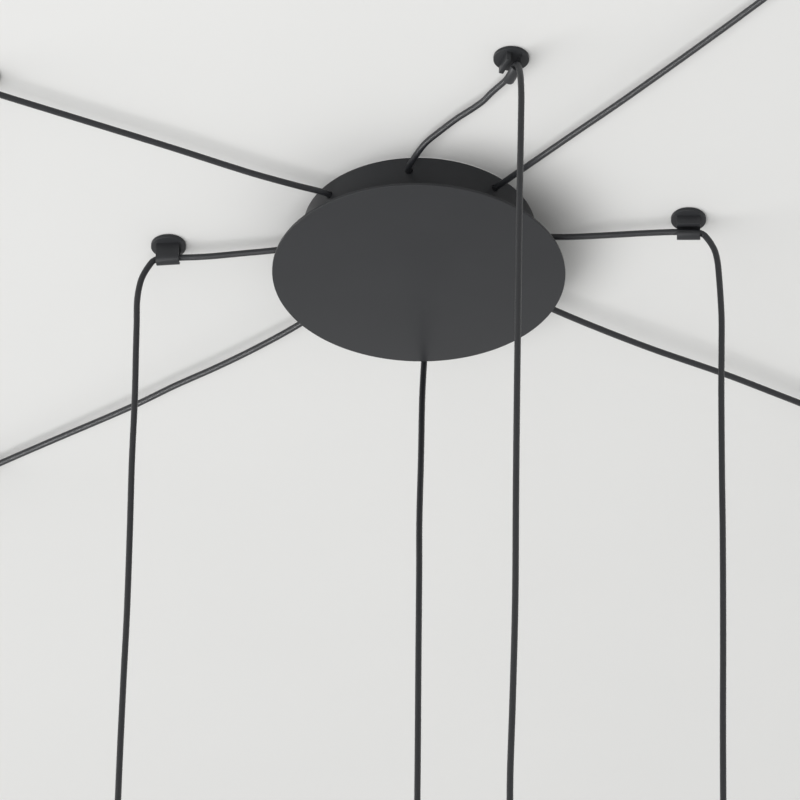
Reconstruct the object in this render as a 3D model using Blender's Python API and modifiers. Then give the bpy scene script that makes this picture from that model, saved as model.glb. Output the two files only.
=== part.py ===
"""Multi-light pendant light: a round ceiling canopy with eight cords, seven ceiling hooks and eight lampholders.

Metres, +Z up. The origin is the centre of the canopy's ceiling face, and everything hangs below z = 0,
apart from the shanks of the canopy's screws. Azimuths are measured from -Y towards +X.
"""

import math

import bmesh
import bpy
from mathutils import Matrix, Vector

# Canopy: a drawn steel pan, open below
CANOPY_RADIUS = 0.1194
CANOPY_DEPTH = 0.0561
CANOPY_WALL = 0.0015
CANOPY_EDGE = 0.0012
CANOPY_STEPS = 64

# Cover: a flat steel disc with a locating ring welded to its upper face
COVER_RADIUS = 0.150
COVER_THICKNESS = 0.003
COVER_EDGE = 0.0005
COVER_STEPS = 80
RING_HEIGHT = 0.010
RING_WALL = 0.0015
RING_CLEARANCE = 0.0007

# Gap that two pieces keep where they seat on each other, and the overrun of every cut
SEAT = 0.0003
OVERRUN = 0.002

# Cords: eight outlets evenly spaced round the wall
CORD_DIAMETER = 0.0065
CORD_SIDES_RESOLUTION = 2
CORD_COUNT = 8
CORD_LEVEL = -0.0175
CORD_HOLE_CLEARANCE = 0.0006
CORD_STRAIGHT = 0.006
POINT_SPACING = CORD_DIAMETER * 3
FIRST_AZIMUTH = math.radians(-50.5)

# Cord clamps: nylon saddles under the canopy's top, each in line with its outlet
CLAMP_LENGTH = 0.012
CLAMP_WALL = 0.0045
CLAMP_FOOT = 0.0054
CLAMP_FOOT_THICKNESS = 0.003
CLAMP_TO_WALL = 0.0045
CLAMP_ARC_STEPS = 8

# Terminal blocks: three strips side by side, for live, neutral and earth
TERMINAL_POLES = 9
TERMINAL_PITCH = 0.008
TERMINAL_WIDTH = 0.015
TERMINAL_HEIGHT = 0.016
TERMINAL_NOTCH = 0.0025
TERMINAL_GAP = 0.005
TAIL_POLES = 3
TAIL_STRAIGHT = 0.010

# Magnets on posts that hold the cover
MAGNET_RADIUS = 0.010
MAGNET_HEIGHT = 0.005
MAGNET_HOLE_RADIUS = 0.0022
POST_RADIUS = 0.004
POST_TO_WALL = 0.033
POST_SIDES = 16

# Screws through the canopy's top into the ceiling
SCREW_SHANK_RADIUS = 0.002
SCREW_HEAD_RADIUS = 0.0042
SCREW_HEAD_HEIGHT = 0.0026
SCREW_LENGTH = 0.030
SCREW_HOLE_CLEARANCE = 0.0006
SCREW_TO_WALL = 0.030
SCREW_SIDES = 16
SLOT_WIDTH = 0.0012
SLOT_DEPTH = 0.0012

# Rubber grommet in the mains entry
ENTRY_RADIUS = 0.011
ENTRY_TO_TERMINALS = 0.015
ENTRY_ASIDE = 0.017
GROMMET_BORE_RADIUS = 0.006
GROMMET_FLANGE = 0.003
GROMMET_FLANGE_THICKNESS = 0.002
GROMMET_STEPS = 24

# Ceiling hooks: one casting each, a round plate with a block on one side and a trough on the other
PLATE_RADIUS = 0.018
PLATE_THICKNESS = 0.004
PLATE_EDGE = 0.0005
PLATE_STEPS = 32
HOOK_LENGTH = 0.024
HOOK_BLOCK_WIDTH = 0.0048
HOOK_BLOCK_HEIGHT = 0.0105
HOOK_BLOCK_CLEARANCE = 0.00095
TROUGH_OFFSET = 0.0013
TROUGH_WALL = 0.0025
TROUGH_CLEARANCE = 0.00085
TROUGH_DROP = 0.0153
LIP_ANGLE = math.radians(-156)
TROUGH_ARC_STEPS = 8
STUD_HOLE_RADIUS = 0.0021
STUD_HOLE_DEPTH = 0.003

# Lampholders, all hung at one level
LAMP_LEVEL = -0.930
NECK_RADIUS = 0.0065
NECK_HEIGHT = 0.010
CAP_RADIUS = 0.019
CAP_HEIGHT = 0.030
CAP_SKIRT = 0.004
CAP_ARC_STEPS = 4
HOLDER_HEIGHT = 0.045
HOLDER_RIM = 0.002
HOLDER_EDGE = 0.001
SOCKET_RADIUS = 0.0137
SOCKET_DEPTH = 0.030
HOLDER_STEPS = 20

# Angle above which an edge between two faces stays sharp
SHARP = math.radians(40)

# How far each hook is from the middle of the canopy
HOOK_1_REACH = 0.5053
HOOK_2_REACH = 0.2998
HOOK_3_REACH = 0.5748
HOOK_4_REACH = 0.2764
HOOK_5_REACH = 0.5140
HOOK_7_REACH = 0.6259
HOOK_8_REACH = 0.2601

# Each hook's reach and azimuth, and the heading of its trough from +X, by the number of its cord. Cord 6 has no hook
HOOKS = {
    1: (HOOK_1_REACH, math.radians(-61.25), math.radians(207)),
    2: (HOOK_2_REACH, math.radians(17.23), math.radians(-71)),
    3: (HOOK_3_REACH, math.radians(39.42), math.radians(-51)),
    4: (HOOK_4_REACH, math.radians(84.77), math.radians(-1.6)),
    5: (HOOK_5_REACH, math.radians(123.53), math.radians(31)),
    7: (HOOK_7_REACH, math.radians(227.85), math.radians(139)),
    8: (HOOK_8_REACH, math.radians(262.29), math.radians(173)),
}

# Each cord's way along the ceiling from its outlet to its hook, and cord 6's way down past the rim of the disc
ALONG_CEILING = {
    1: (
        (-0.1251, -0.0903, -0.0170),
        (-0.1700, -0.1100, -0.0175),
        (-0.2550, -0.1527, -0.0180),
        (-0.3400, -0.1928, -0.0175),
    ),
    2: (
        (-0.0063, -0.1415, -0.0176),
        (0.0040, -0.1650, -0.0178),
        (0.0199, -0.1871, -0.0178),
        (0.0351, -0.2065, -0.0178),
        (0.0503, -0.2230, -0.0178),
        (0.0612, -0.2360, -0.0178),
        (0.0700, -0.2510, -0.0180),
    ),
    3: (
        (0.1580, -0.1915, -0.0191),
        (0.1900, -0.2305, -0.0204),
        (0.2290, -0.2780, -0.0208),
        (0.2980, -0.3620, -0.0200),
    ),
    4: ((0.1500, -0.0142, -0.0190), (0.1850, -0.0172, -0.0187), (0.2300, -0.0215, -0.0179)),
    5: (
        (0.1470, 0.1150, -0.0189),
        (0.2350, 0.1665, -0.0219),
        (0.3220, 0.2160, -0.0205),
        (0.3800, 0.2530, -0.0191),
    ),
    6: (
        (0.0112, 0.1420, -0.0205),
        (0.0098, 0.1508, -0.0278),
        (0.0085, 0.1556, -0.0380),
        (0.0075, 0.1576, -0.0500),
        (0.0069, 0.1580, -0.0640),
    ),
    7: (
        (-0.1250, 0.1375, -0.0250),
        (-0.1700, 0.1767, -0.0274),
        (-0.2100, 0.2115, -0.0264),
        (-0.2520, 0.2464, -0.0245),
        (-0.2960, 0.2830, -0.0247),
        (-0.3820, 0.3530, -0.0205),
        (-0.4300, 0.3925, -0.0180),
    ),
    8: ((-0.1500, 0.0168, -0.0191), (-0.1800, 0.0225, -0.0190), (-0.2200, 0.0290, -0.0194)),
}

# The way over a hook: along its axis, across it towards the web, and height
OVER_HOOK = (
    (-0.0140, 0.0002, -0.0181),
    (-0.0020, 0.0005, -0.0182),
    (0.0070, 0.0008, -0.0184),
    (0.0120, 0.0009, -0.0191),
    (0.0156, 0.0009, -0.0212),
    (0.0192, 0.0007, -0.0262),
    (0.0233, 0.0004, -0.0336),
    (0.0269, 0.0002, -0.0428),
    (0.0294, 0.0000, -0.0560),
    (0.0306, 0.0000, -0.0710),
)

# Where a cord that doesn't hang quite straight passes on its way down. The others hang plumb
DROPS = {
    2: (
        (0.0987, -0.3150, -0.1000),
        (0.0985, -0.3148, -0.1300),
        (0.0978, -0.3148, -0.2130),
        (0.0971, -0.3148, -0.3800),
        (0.0967, -0.3148, -0.5400),
        (0.0968, -0.3148, -0.6900),
        (0.0952, -0.3148, -0.8000),
        (0.0934, -0.3148, -0.8900),
    ),
    4: (
        (0.3074, -0.0261, -0.1000),
        (0.3084, -0.0261, -0.1280),
        (0.3082, -0.0261, -0.1650),
        (0.3077, -0.0261, -0.2100),
        (0.3077, -0.0261, -0.3200),
        (0.3081, -0.0261, -0.4000),
        (0.3078, -0.0261, -0.5200),
        (0.3070, -0.0261, -0.6300),
        (0.3068, -0.0261, -0.7100),
        (0.3068, -0.0261, -0.8200),
    ),
    6: (
        (0.0059, 0.1580, -0.1000),
        (0.0056, 0.1580, -0.1750),
        (0.0049, 0.1580, -0.2600),
        (0.0055, 0.1580, -0.3170),
        (0.0061, 0.1580, -0.4300),
        (0.0067, 0.1580, -0.5200),
        (0.0071, 0.1580, -0.6000),
        (0.0071, 0.1580, -0.7800),
    ),
    8: (
        (-0.2877, 0.0386, -0.1000),
        (-0.2875, 0.0386, -0.1300),
        (-0.2869, 0.0386, -0.1900),
        (-0.2875, 0.0386, -0.2750),
        (-0.2870, 0.0386, -0.3600),
        (-0.2870, 0.0386, -0.4650),
        (-0.2879, 0.0386, -0.5350),
        (-0.2889, 0.0386, -0.6400),
        (-0.2892, 0.0386, -0.7200),
        (-0.2892, 0.0386, -0.8200),
    ),
}

CORD_RADIUS = CORD_DIAMETER / 2
INNER_RADIUS = CANOPY_RADIUS - CANOPY_WALL
CORD_HOLE_RADIUS = CORD_RADIUS + CORD_HOLE_CLEARANCE
UNDER_TOP = -CANOPY_WALL - SEAT
COVER_TOP = -CANOPY_DEPTH - SEAT
CLAMP_OUTER = INNER_RADIUS - CLAMP_TO_WALL
CLAMP_INNER = CLAMP_OUTER - CLAMP_LENGTH
TERMINAL_SPACING = TERMINAL_WIDTH + TERMINAL_GAP
TERMINALS_EDGE = TERMINAL_SPACING + TERMINAL_WIDTH / 2
GROMMET_RADIUS = ENTRY_RADIUS + GROMMET_FLANGE
BETWEEN_OUTLETS = math.tau / CORD_COUNT


def clear_scene():
    for thing in list(bpy.data.objects):
        bpy.data.objects.remove(thing, do_unlink=True)


def new_collection(name):
    collection = bpy.data.collections.new(name)
    bpy.context.scene.collection.children.link(collection)
    return collection


def new_material(name, color, roughness, metallic=0.0):
    material = bpy.data.materials.new(name)
    material.use_nodes = True
    shader = material.node_tree.nodes["Principled BSDF"]
    shader.inputs["Base Color"].default_value = (*color, 1.0)
    shader.inputs["Roughness"].default_value = roughness
    shader.inputs["Metallic"].default_value = metallic
    material.diffuse_color = (*color, 1.0)
    return material


def azimuth_of(number):
    return FIRST_AZIMUTH + (number - 1) * BETWEEN_OUTLETS


def around(azimuth, radius, height=0.0):
    return Vector((radius * math.sin(azimuth), -radius * math.cos(azimuth), height))


def turn_to(azimuth):
    """The turn that carries local -Y onto the azimuth, seen from above."""
    return Matrix.Rotation(azimuth, 4, "Z")


def add_object(name, data, collection, material=None):
    thing = bpy.data.objects.new(name, data)
    collection.objects.link(thing)
    if material:
        data.materials.append(material)
    return thing


def evaluated_mesh(thing):
    """The object's mesh with its modifiers, its loose caps welded to its sides."""
    bpy.context.view_layer.update()
    graph = bpy.context.evaluated_depsgraph_get()
    mesh = bpy.data.meshes.new_from_object(thing.evaluated_get(graph))
    shape = bmesh.new()
    shape.from_mesh(mesh)
    bmesh.ops.remove_doubles(shape, verts=shape.verts, dist=1e-6)
    shape.to_mesh(mesh)
    shape.free()
    return mesh


def settled(thing):
    """Replaces the object by its finished mesh, shaded smooth across its shallow edges."""
    mesh = evaluated_mesh(thing)
    mesh.name = thing.name
    mesh.shade_smooth()
    mesh.set_sharp_from_angle(angle=SHARP)
    name, place, collection = thing.name, thing.matrix_world.copy(), thing.users_collection[0]
    bpy.data.objects.remove(thing, do_unlink=True)
    finished = bpy.data.objects.new(name, mesh)
    collection.objects.link(finished)
    finished.matrix_world = place
    return finished


def turned(name, profile, steps, collection, material=None):
    """A solid of revolution about Z. The profile runs from the axis down its outer side, back to the axis."""
    mesh = bpy.data.meshes.new(name)
    corners = [(radius, 0.0, height) for radius, height in profile]
    mesh.from_pydata(corners, [(i, i + 1) for i in range(len(corners) - 1)], [])
    thing = add_object(name, mesh, collection, material)
    screw = thing.modifiers.new("turn", "SCREW")
    screw.axis = "Z"
    screw.angle = math.tau
    screw.steps = screw.render_steps = steps
    screw.use_merge_vertices = True
    screw.merge_threshold = 1e-5
    return settled(thing)


def ring(name, profile, steps, collection, material=None):
    """A solid of revolution with a bore: its profile is closed and stays off the axis."""
    return turned(name, [*profile, profile[0]], steps, collection, material)


def prism(name, outline, length, collection, material=None):
    """A flat outline in local XY, extruded by its length along local Z about the middle."""
    curve = bpy.data.curves.new(name, "CURVE")
    curve.dimensions = "2D"
    curve.fill_mode = "BOTH"
    curve.extrude = length / 2
    spline = curve.splines.new("POLY")
    spline.points.add(len(outline) - 1)
    for point, (across, up) in zip(spline.points, outline):
        point.co = (across, up, 0.0, 1.0)
    spline.use_cyclic_u = True
    return settled(add_object(name, curve, collection, material))


def rod(name, radius, bottom, top, sides, collection):
    """A plain cylinder on the Z axis, as a tool for cutting or a piece to join."""
    mesh = bpy.data.meshes.new(name)
    shape = bmesh.new()
    bmesh.ops.create_cone(
        shape,
        cap_ends=True,
        segments=sides,
        radius1=radius,
        radius2=radius,
        depth=top - bottom,
        matrix=Matrix.Translation((0, 0, (top + bottom) / 2)),
    )
    shape.to_mesh(mesh)
    shape.free()
    return add_object(name, mesh, collection)


def hide_tool(tool):
    tool.hide_render = True
    tool.display_type = "WIRE"


def combine(thing, tool, operation):
    hide_tool(tool)
    change = thing.modifiers.new(tool.name, "BOOLEAN")
    change.operation = operation
    change.object = tool


def copies(first, places, names):
    """The piece at each place, under each name. All of them share one mesh."""
    collection = first.users_collection[0]
    mesh = first.data
    bpy.data.objects.remove(first, do_unlink=True)
    for name, place in zip(names, places):
        thing = bpy.data.objects.new(name, mesh)
        collection.objects.link(thing)
        thing.matrix_world = place


def arc(center, radius, start, end, steps):
    turns = [start + (end - start) * i / steps for i in range(steps + 1)]
    return [(center[0] + radius * math.cos(a), center[1] + radius * math.sin(a)) for a in turns]


def smooth_points(route):
    """Points on the smooth curve through the route: each route point, and others between at the usual spacing."""
    ends = [route[0] * 2 - route[1], *route, route[-1] * 2 - route[-2]]
    points = []
    for before, start, end, after in zip(ends, ends[1:], ends[2:], ends[3:]):
        count = max(1, round((end - start).length / POINT_SPACING))
        points += [span_point(before, start, end, after, i / count) for i in range(count)]
    return [*points, route[-1]]


def straight_points(route):
    """Points at the usual spacing on the straight lines between the route's points, after its first."""
    points = []
    for start, end in zip(route, route[1:]):
        count = max(1, round((end - start).length / POINT_SPACING))
        points += [start.lerp(end, i / count) for i in range(1, count + 1)]
    return points


def span_point(before, start, end, after, share):
    """A point of the centripetal Catmull-Rom curve between two route points."""
    knots = [0.0]
    for a, b in ((before, start), (start, end), (end, after)):
        knots.append(knots[-1] + math.sqrt((b - a).length))
    k0, k1, k2, k3 = knots
    k = k1 + (k2 - k1) * share
    first = before.lerp(start, (k - k0) / (k1 - k0))
    second = start.lerp(end, (k - k1) / (k2 - k1))
    third = end.lerp(after, (k - k2) / (k3 - k2))
    left = first.lerp(second, (k - k0) / (k2 - k0))
    right = second.lerp(third, (k - k1) / (k3 - k1))
    return left.lerp(right, (k - k1) / (k2 - k1))


def tube(name, points, collection, material):
    curve = bpy.data.curves.new(name, "CURVE")
    curve.dimensions = "3D"
    curve.bevel_depth = CORD_RADIUS
    curve.bevel_resolution = CORD_SIDES_RESOLUTION
    curve.use_fill_caps = True
    spline = curve.splines.new("POLY")
    spline.points.add(len(points) - 1)
    for point, place in zip(spline.points, points):
        point.co = (*place, 1.0)
    return add_object(name, curve, collection, material)


def make_canopy(parts, cutters, paint):
    """Pan with a cord hole at each outlet, three screw holes, the mains entry and three posts for the magnets."""
    edge = CANOPY_EDGE
    profile = [
        (0.0, 0.0),
        (CANOPY_RADIUS - edge, 0.0),
        (CANOPY_RADIUS, -edge),
        (CANOPY_RADIUS, -CANOPY_DEPTH),
        (INNER_RADIUS, -CANOPY_DEPTH),
        (INNER_RADIUS, -CANOPY_WALL),
        (0.0, -CANOPY_WALL),
    ]
    canopy = turned("canopy_body", profile, CANOPY_STEPS, parts, paint)
    for number in range(1, CORD_COUNT + 1):
        start = CLAMP_OUTER
        hole = rod(
            f"cord_hole_{number}", CORD_HOLE_RADIUS, start, CANOPY_RADIUS + OVERRUN, 12, cutters
        )
        lay_outwards = Matrix.Rotation(math.radians(90), 4, "X")
        hole.matrix_world = (
            Matrix.Translation((0, 0, CORD_LEVEL)) @ turn_to(azimuth_of(number)) @ lay_outwards
        )
        combine(canopy, hole, "DIFFERENCE")
    for number, azimuth in enumerate(screw_azimuths(), 1):
        radius = SCREW_SHANK_RADIUS + SCREW_HOLE_CLEARANCE
        hole = rod(
            f"screw_hole_{number}", radius, -CANOPY_WALL - OVERRUN, OVERRUN, SCREW_SIDES, cutters
        )
        hole.location = around(azimuth, INNER_RADIUS - SCREW_TO_WALL)
        combine(canopy, hole, "DIFFERENCE")
    entry = rod(
        "entry_hole", ENTRY_RADIUS, -CANOPY_WALL - OVERRUN, OVERRUN, GROMMET_STEPS, cutters
    )
    entry.location = entry_place()
    combine(canopy, entry, "DIFFERENCE")
    for number, azimuth in enumerate(post_azimuths(), 1):
        post = rod(
            f"magnet_post_{number}", POST_RADIUS, post_bottom(), -CANOPY_WALL / 2, POST_SIDES, cutters
        )
        post.location = around(azimuth, INNER_RADIUS - POST_TO_WALL)
        combine(canopy, post, "UNION")


def post_azimuths():
    """Midway between outlets: after the first, the fourth and the seventh."""
    return [azimuth_of(number + 0.5) for number in (1, 4, 7)]


def screw_azimuths():
    return [azimuth_of(number + 0.5) for number in (3, 5, 8)]


def entry_place():
    """Beside the terminals, to the right of cord 2."""
    return Vector((ENTRY_ASIDE, -TERMINALS_EDGE - ENTRY_TO_TERMINALS - GROMMET_RADIUS, 0.0))


def magnet_bottom():
    return COVER_TOP + SEAT


def post_bottom():
    return magnet_bottom() + MAGNET_HEIGHT + SEAT


def make_cover(parts, paint):
    """Disc whose upper face carries the ring that centres it in the canopy."""
    ring_outer = INNER_RADIUS - RING_CLEARANCE
    ring_inner = ring_outer - RING_WALL
    bottom = COVER_TOP - COVER_THICKNESS
    profile = [
        (0.0, COVER_TOP),
        (ring_inner, COVER_TOP),
        (ring_inner, COVER_TOP + RING_HEIGHT),
        (ring_outer, COVER_TOP + RING_HEIGHT),
        (ring_outer, COVER_TOP),
        (COVER_RADIUS - COVER_EDGE, COVER_TOP),
        (COVER_RADIUS, COVER_TOP - COVER_EDGE),
        (COVER_RADIUS, bottom + COVER_EDGE),
        (COVER_RADIUS - COVER_EDGE, bottom),
        (0.0, bottom),
    ]
    turned("cover_disc", profile, COVER_STEPS, parts, paint)


def make_magnets(parts, steel):
    """Pot magnets at the ends of the posts, each with its countersunk hole facing the cover."""
    bottom = magnet_bottom()
    profile = [
        (MAGNET_HOLE_RADIUS, bottom + MAGNET_HEIGHT),
        (MAGNET_RADIUS, bottom + MAGNET_HEIGHT),
        (MAGNET_RADIUS, bottom),
        (MAGNET_HOLE_RADIUS * 2, bottom),
        (MAGNET_HOLE_RADIUS, bottom + MAGNET_HOLE_RADIUS),
    ]
    magnet = ring("magnet", profile, POST_SIDES, parts, steel)
    places = [
        Matrix.Translation(around(azimuth, INNER_RADIUS - POST_TO_WALL))
        for azimuth in post_azimuths()
    ]
    copies(magnet, places, ["magnet_1", "magnet_2", "magnet_3"])


def make_screws(parts, cutters, steel):
    """Slotted pan-head screws whose shanks pass through the canopy's top."""
    top = UNDER_TOP
    head_bottom = top - SCREW_HEAD_HEIGHT
    tip = top + SCREW_LENGTH
    profile = [
        (0.0, tip),
        (SCREW_SHANK_RADIUS, tip - 2 * SCREW_SHANK_RADIUS),
        (SCREW_SHANK_RADIUS, top),
        (SCREW_HEAD_RADIUS, top),
        (SCREW_HEAD_RADIUS, (top + head_bottom) / 2),
        (SCREW_SHANK_RADIUS, head_bottom),
        (0.0, head_bottom),
    ]
    screw = turned("ceiling_screw", profile, SCREW_SIDES, parts, steel)
    reach = SCREW_HEAD_RADIUS + OVERRUN
    outline = [
        (-SLOT_WIDTH / 2, head_bottom - OVERRUN),
        (SLOT_WIDTH / 2, head_bottom - OVERRUN),
        (SLOT_WIDTH / 2, head_bottom + SLOT_DEPTH),
        (-SLOT_WIDTH / 2, head_bottom + SLOT_DEPTH),
    ]
    slot = prism("screw_slot", outline, 2 * reach, cutters)
    slot.matrix_world = Matrix.Rotation(math.radians(90), 4, "X")
    combine(screw, slot, "DIFFERENCE")
    screw = settled(screw)
    bpy.data.objects.remove(slot, do_unlink=True)
    places = [
        Matrix.Translation(around(azimuth, INNER_RADIUS - SCREW_TO_WALL))
        for azimuth in screw_azimuths()
    ]
    copies(screw, places, ["ceiling_screw_1", "ceiling_screw_2", "ceiling_screw_3"])


def make_grommet(parts, rubber):
    neck = ENTRY_RADIUS - SEAT
    profile = [
        (GROMMET_BORE_RADIUS, -SEAT),
        (neck, -SEAT),
        (neck, UNDER_TOP),
        (GROMMET_RADIUS, UNDER_TOP),
        (GROMMET_RADIUS, UNDER_TOP - GROMMET_FLANGE_THICKNESS),
        (GROMMET_BORE_RADIUS, UNDER_TOP - GROMMET_FLANGE_THICKNESS),
    ]
    grommet = ring("entry_grommet", profile, GROMMET_STEPS, parts, rubber)
    grommet.location = entry_place()


def make_clamps(parts, nylon):
    """Saddles with two feet and a round back that follows the cord."""
    half = CORD_RADIUS + CLAMP_WALL
    foot = half + CLAMP_FOOT
    foot_bottom = UNDER_TOP - CLAMP_FOOT_THICKNESS
    outline = [
        (foot, UNDER_TOP),
        (-foot, UNDER_TOP),
        (-foot, foot_bottom),
        (-half, foot_bottom),
        *arc((0.0, CORD_LEVEL), half, math.pi, math.tau, CLAMP_ARC_STEPS),
        (half, foot_bottom),
        (foot, foot_bottom),
    ]
    clamp = prism("cord_clamp", outline, CLAMP_LENGTH, parts, nylon)
    stand_up = Matrix.Rotation(math.radians(90), 4, "X")
    middle = (CLAMP_OUTER + CLAMP_INNER) / 2
    numbers = range(1, CORD_COUNT + 1)
    places = [
        turn_to(azimuth_of(number)) @ Matrix.Translation((0, -middle, 0)) @ stand_up
        for number in numbers
    ]
    copies(clamp, places, [f"cord_clamp_{number}" for number in numbers])


def make_terminals(parts, plastic):
    """Three strips of screw terminals, notched between their poles, under the canopy's top."""
    length = TERMINAL_POLES * TERMINAL_PITCH
    half = TERMINAL_WIDTH / 2
    side = []
    for pole in range(TERMINAL_POLES):
        start = -length / 2 + pole * TERMINAL_PITCH
        end = start + TERMINAL_PITCH
        side += [(start + TERMINAL_NOTCH / 2, half), (end - TERMINAL_NOTCH / 2, half)]
        if pole < TERMINAL_POLES - 1:
            side.append((end, half - TERMINAL_NOTCH))
    outline = side + [(-across, -up) for across, up in side]
    strip = prism("terminal_strip", outline, TERMINAL_HEIGHT, parts, plastic)
    height = UNDER_TOP - TERMINAL_HEIGHT / 2
    places = [Matrix.Translation((0, row * TERMINAL_SPACING, height)) for row in (-1, 0, 1)]
    copies(strip, places, ["live_terminals", "neutral_terminals", "earth_terminals"])


def tail_end(number):
    """Where the tail of a cord meets the terminals, and the way it goes in."""
    height = UNDER_TOP - TERMINAL_HEIGHT / 2
    side = TERMINALS_EDGE
    end = TERMINAL_POLES * TERMINAL_PITCH / 2 - TERMINAL_NOTCH / 2
    step = TERMINAL_PITCH * TAIL_POLES
    places = {
        1: ((-step, -side), (0, 1)),
        2: ((0.0, -side), (0, 1)),
        3: ((step, -side), (0, 1)),
        4: ((end, 0.0), (-1, 0)),
        5: ((step, side), (0, -1)),
        6: ((0.0, side), (0, -1)),
        7: ((-step, side), (0, -1)),
        8: ((-end, 0.0), (1, 0)),
    }
    (across, along), way = places[number]
    way = Vector((*way, 0.0))
    return Vector((across, along, height)) - way * SEAT, way


def make_tails(parts, sheath):
    """The end of each cord inside the canopy, from its clamp to the terminals."""
    for number in range(1, CORD_COUNT + 1):
        azimuth = azimuth_of(number)
        start = around(azimuth, CLAMP_INNER - SEAT, CORD_LEVEL)
        inwards = -around(azimuth, TAIL_STRAIGHT)
        end, way = tail_end(number)
        route = [start, start + inwards, end - way * TAIL_STRAIGHT, end]
        tube(f"cord_tail_{number}", smooth_points(route), parts, sheath)


def hook_axes(number):
    reach, azimuth, heading = HOOKS[number]
    along = Vector((math.cos(heading), math.sin(heading), 0.0))
    across = Vector((-math.sin(heading), math.cos(heading), 0.0))
    return around(azimuth, reach), along, across


def over_hook(number):
    place, along, across = hook_axes(number)
    up = Vector((0, 0, 1))
    return [place + along * a + across * s + up * z for a, s, z in OVER_HOOK]


def cord_to_drop(number):
    """From the clamp straight out through the wall, along the ceiling and over the hook."""
    azimuth = azimuth_of(number)
    route = [
        around(azimuth, CLAMP_OUTER + SEAT, CORD_LEVEL),
        around(azimuth, CANOPY_RADIUS, CORD_LEVEL),
        around(azimuth, CANOPY_RADIUS + CORD_STRAIGHT, CORD_LEVEL),
    ]
    route += [Vector(point) for point in ALONG_CEILING[number]]
    if number in HOOKS:
        route += over_hook(number)
    return route


def cord_drop(number):
    """From there down to the lampholder."""
    drop = [cord_to_drop(number)[-1]]
    drop += [Vector(point) for point in DROPS.get(number, ()) if point[2] > LAMP_LEVEL]
    drop.append(Vector((drop[-1].x, drop[-1].y, LAMP_LEVEL)))
    return drop


def make_cords(parts, sheath):
    for number in range(1, CORD_COUNT + 1):
        points = smooth_points(cord_to_drop(number)) + straight_points(cord_drop(number))
        tube(f"cord_{number}", points, parts, sheath)


def make_hooks(parts, cutters, paint):
    """A round plate with a blind hole for the ceiling stud, a block, and a web that curls under as the cord's trough."""
    profile = [
        (0.0, 0.0),
        (PLATE_RADIUS, 0.0),
        (PLATE_RADIUS, PLATE_EDGE - PLATE_THICKNESS),
        (PLATE_RADIUS - PLATE_EDGE, -PLATE_THICKNESS),
        (0.0, -PLATE_THICKNESS),
    ]
    hook = turned("hook", profile, PLATE_STEPS, parts, paint)
    inside_plate = -PLATE_THICKNESS / 2
    right = -CORD_RADIUS - HOOK_BLOCK_CLEARANCE
    left = right - HOOK_BLOCK_WIDTH
    block_bottom = -PLATE_THICKNESS - HOOK_BLOCK_HEIGHT
    block = prism(
        "hook_block",
        [(left, block_bottom), (right, block_bottom), (right, inside_plate), (left, inside_plate)],
        HOOK_LENGTH,
        cutters,
    )
    inner = CORD_RADIUS + TROUGH_CLEARANCE
    outer = inner + TROUGH_WALL
    center = (TROUGH_OFFSET, -PLATE_THICKNESS - TROUGH_DROP)
    trough = prism(
        "hook_trough",
        [
            (TROUGH_OFFSET + outer, inside_plate),
            *arc(center, outer, 0.0, LIP_ANGLE, TROUGH_ARC_STEPS),
            *arc(center, inner, LIP_ANGLE, 0.0, TROUGH_ARC_STEPS),
            (TROUGH_OFFSET + inner, inside_plate),
        ],
        HOOK_LENGTH,
        cutters,
    )
    # Local X of an outline goes across the hook, local Y up and local Z along it
    stand_along_x = Matrix(((0, 0, 1, 0), (1, 0, 0, 0), (0, 1, 0, 0), (0, 0, 0, 1)))
    for piece in (block, trough):
        piece.matrix_world = stand_along_x
        combine(hook, piece, "UNION")
    stud_hole = rod("stud_hole", STUD_HOLE_RADIUS, -STUD_HOLE_DEPTH, OVERRUN, 12, cutters)
    combine(hook, stud_hole, "DIFFERENCE")
    hook = settled(hook)
    for tool in (block, trough, stud_hole):
        bpy.data.objects.remove(tool, do_unlink=True)
    places = [
        Matrix.Translation(around(azimuth, reach)) @ Matrix.Rotation(heading, 4, "Z")
        for reach, azimuth, heading in HOOKS.values()
    ]
    copies(hook, places, [f"hook_{number}" for number in HOOKS])


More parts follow.
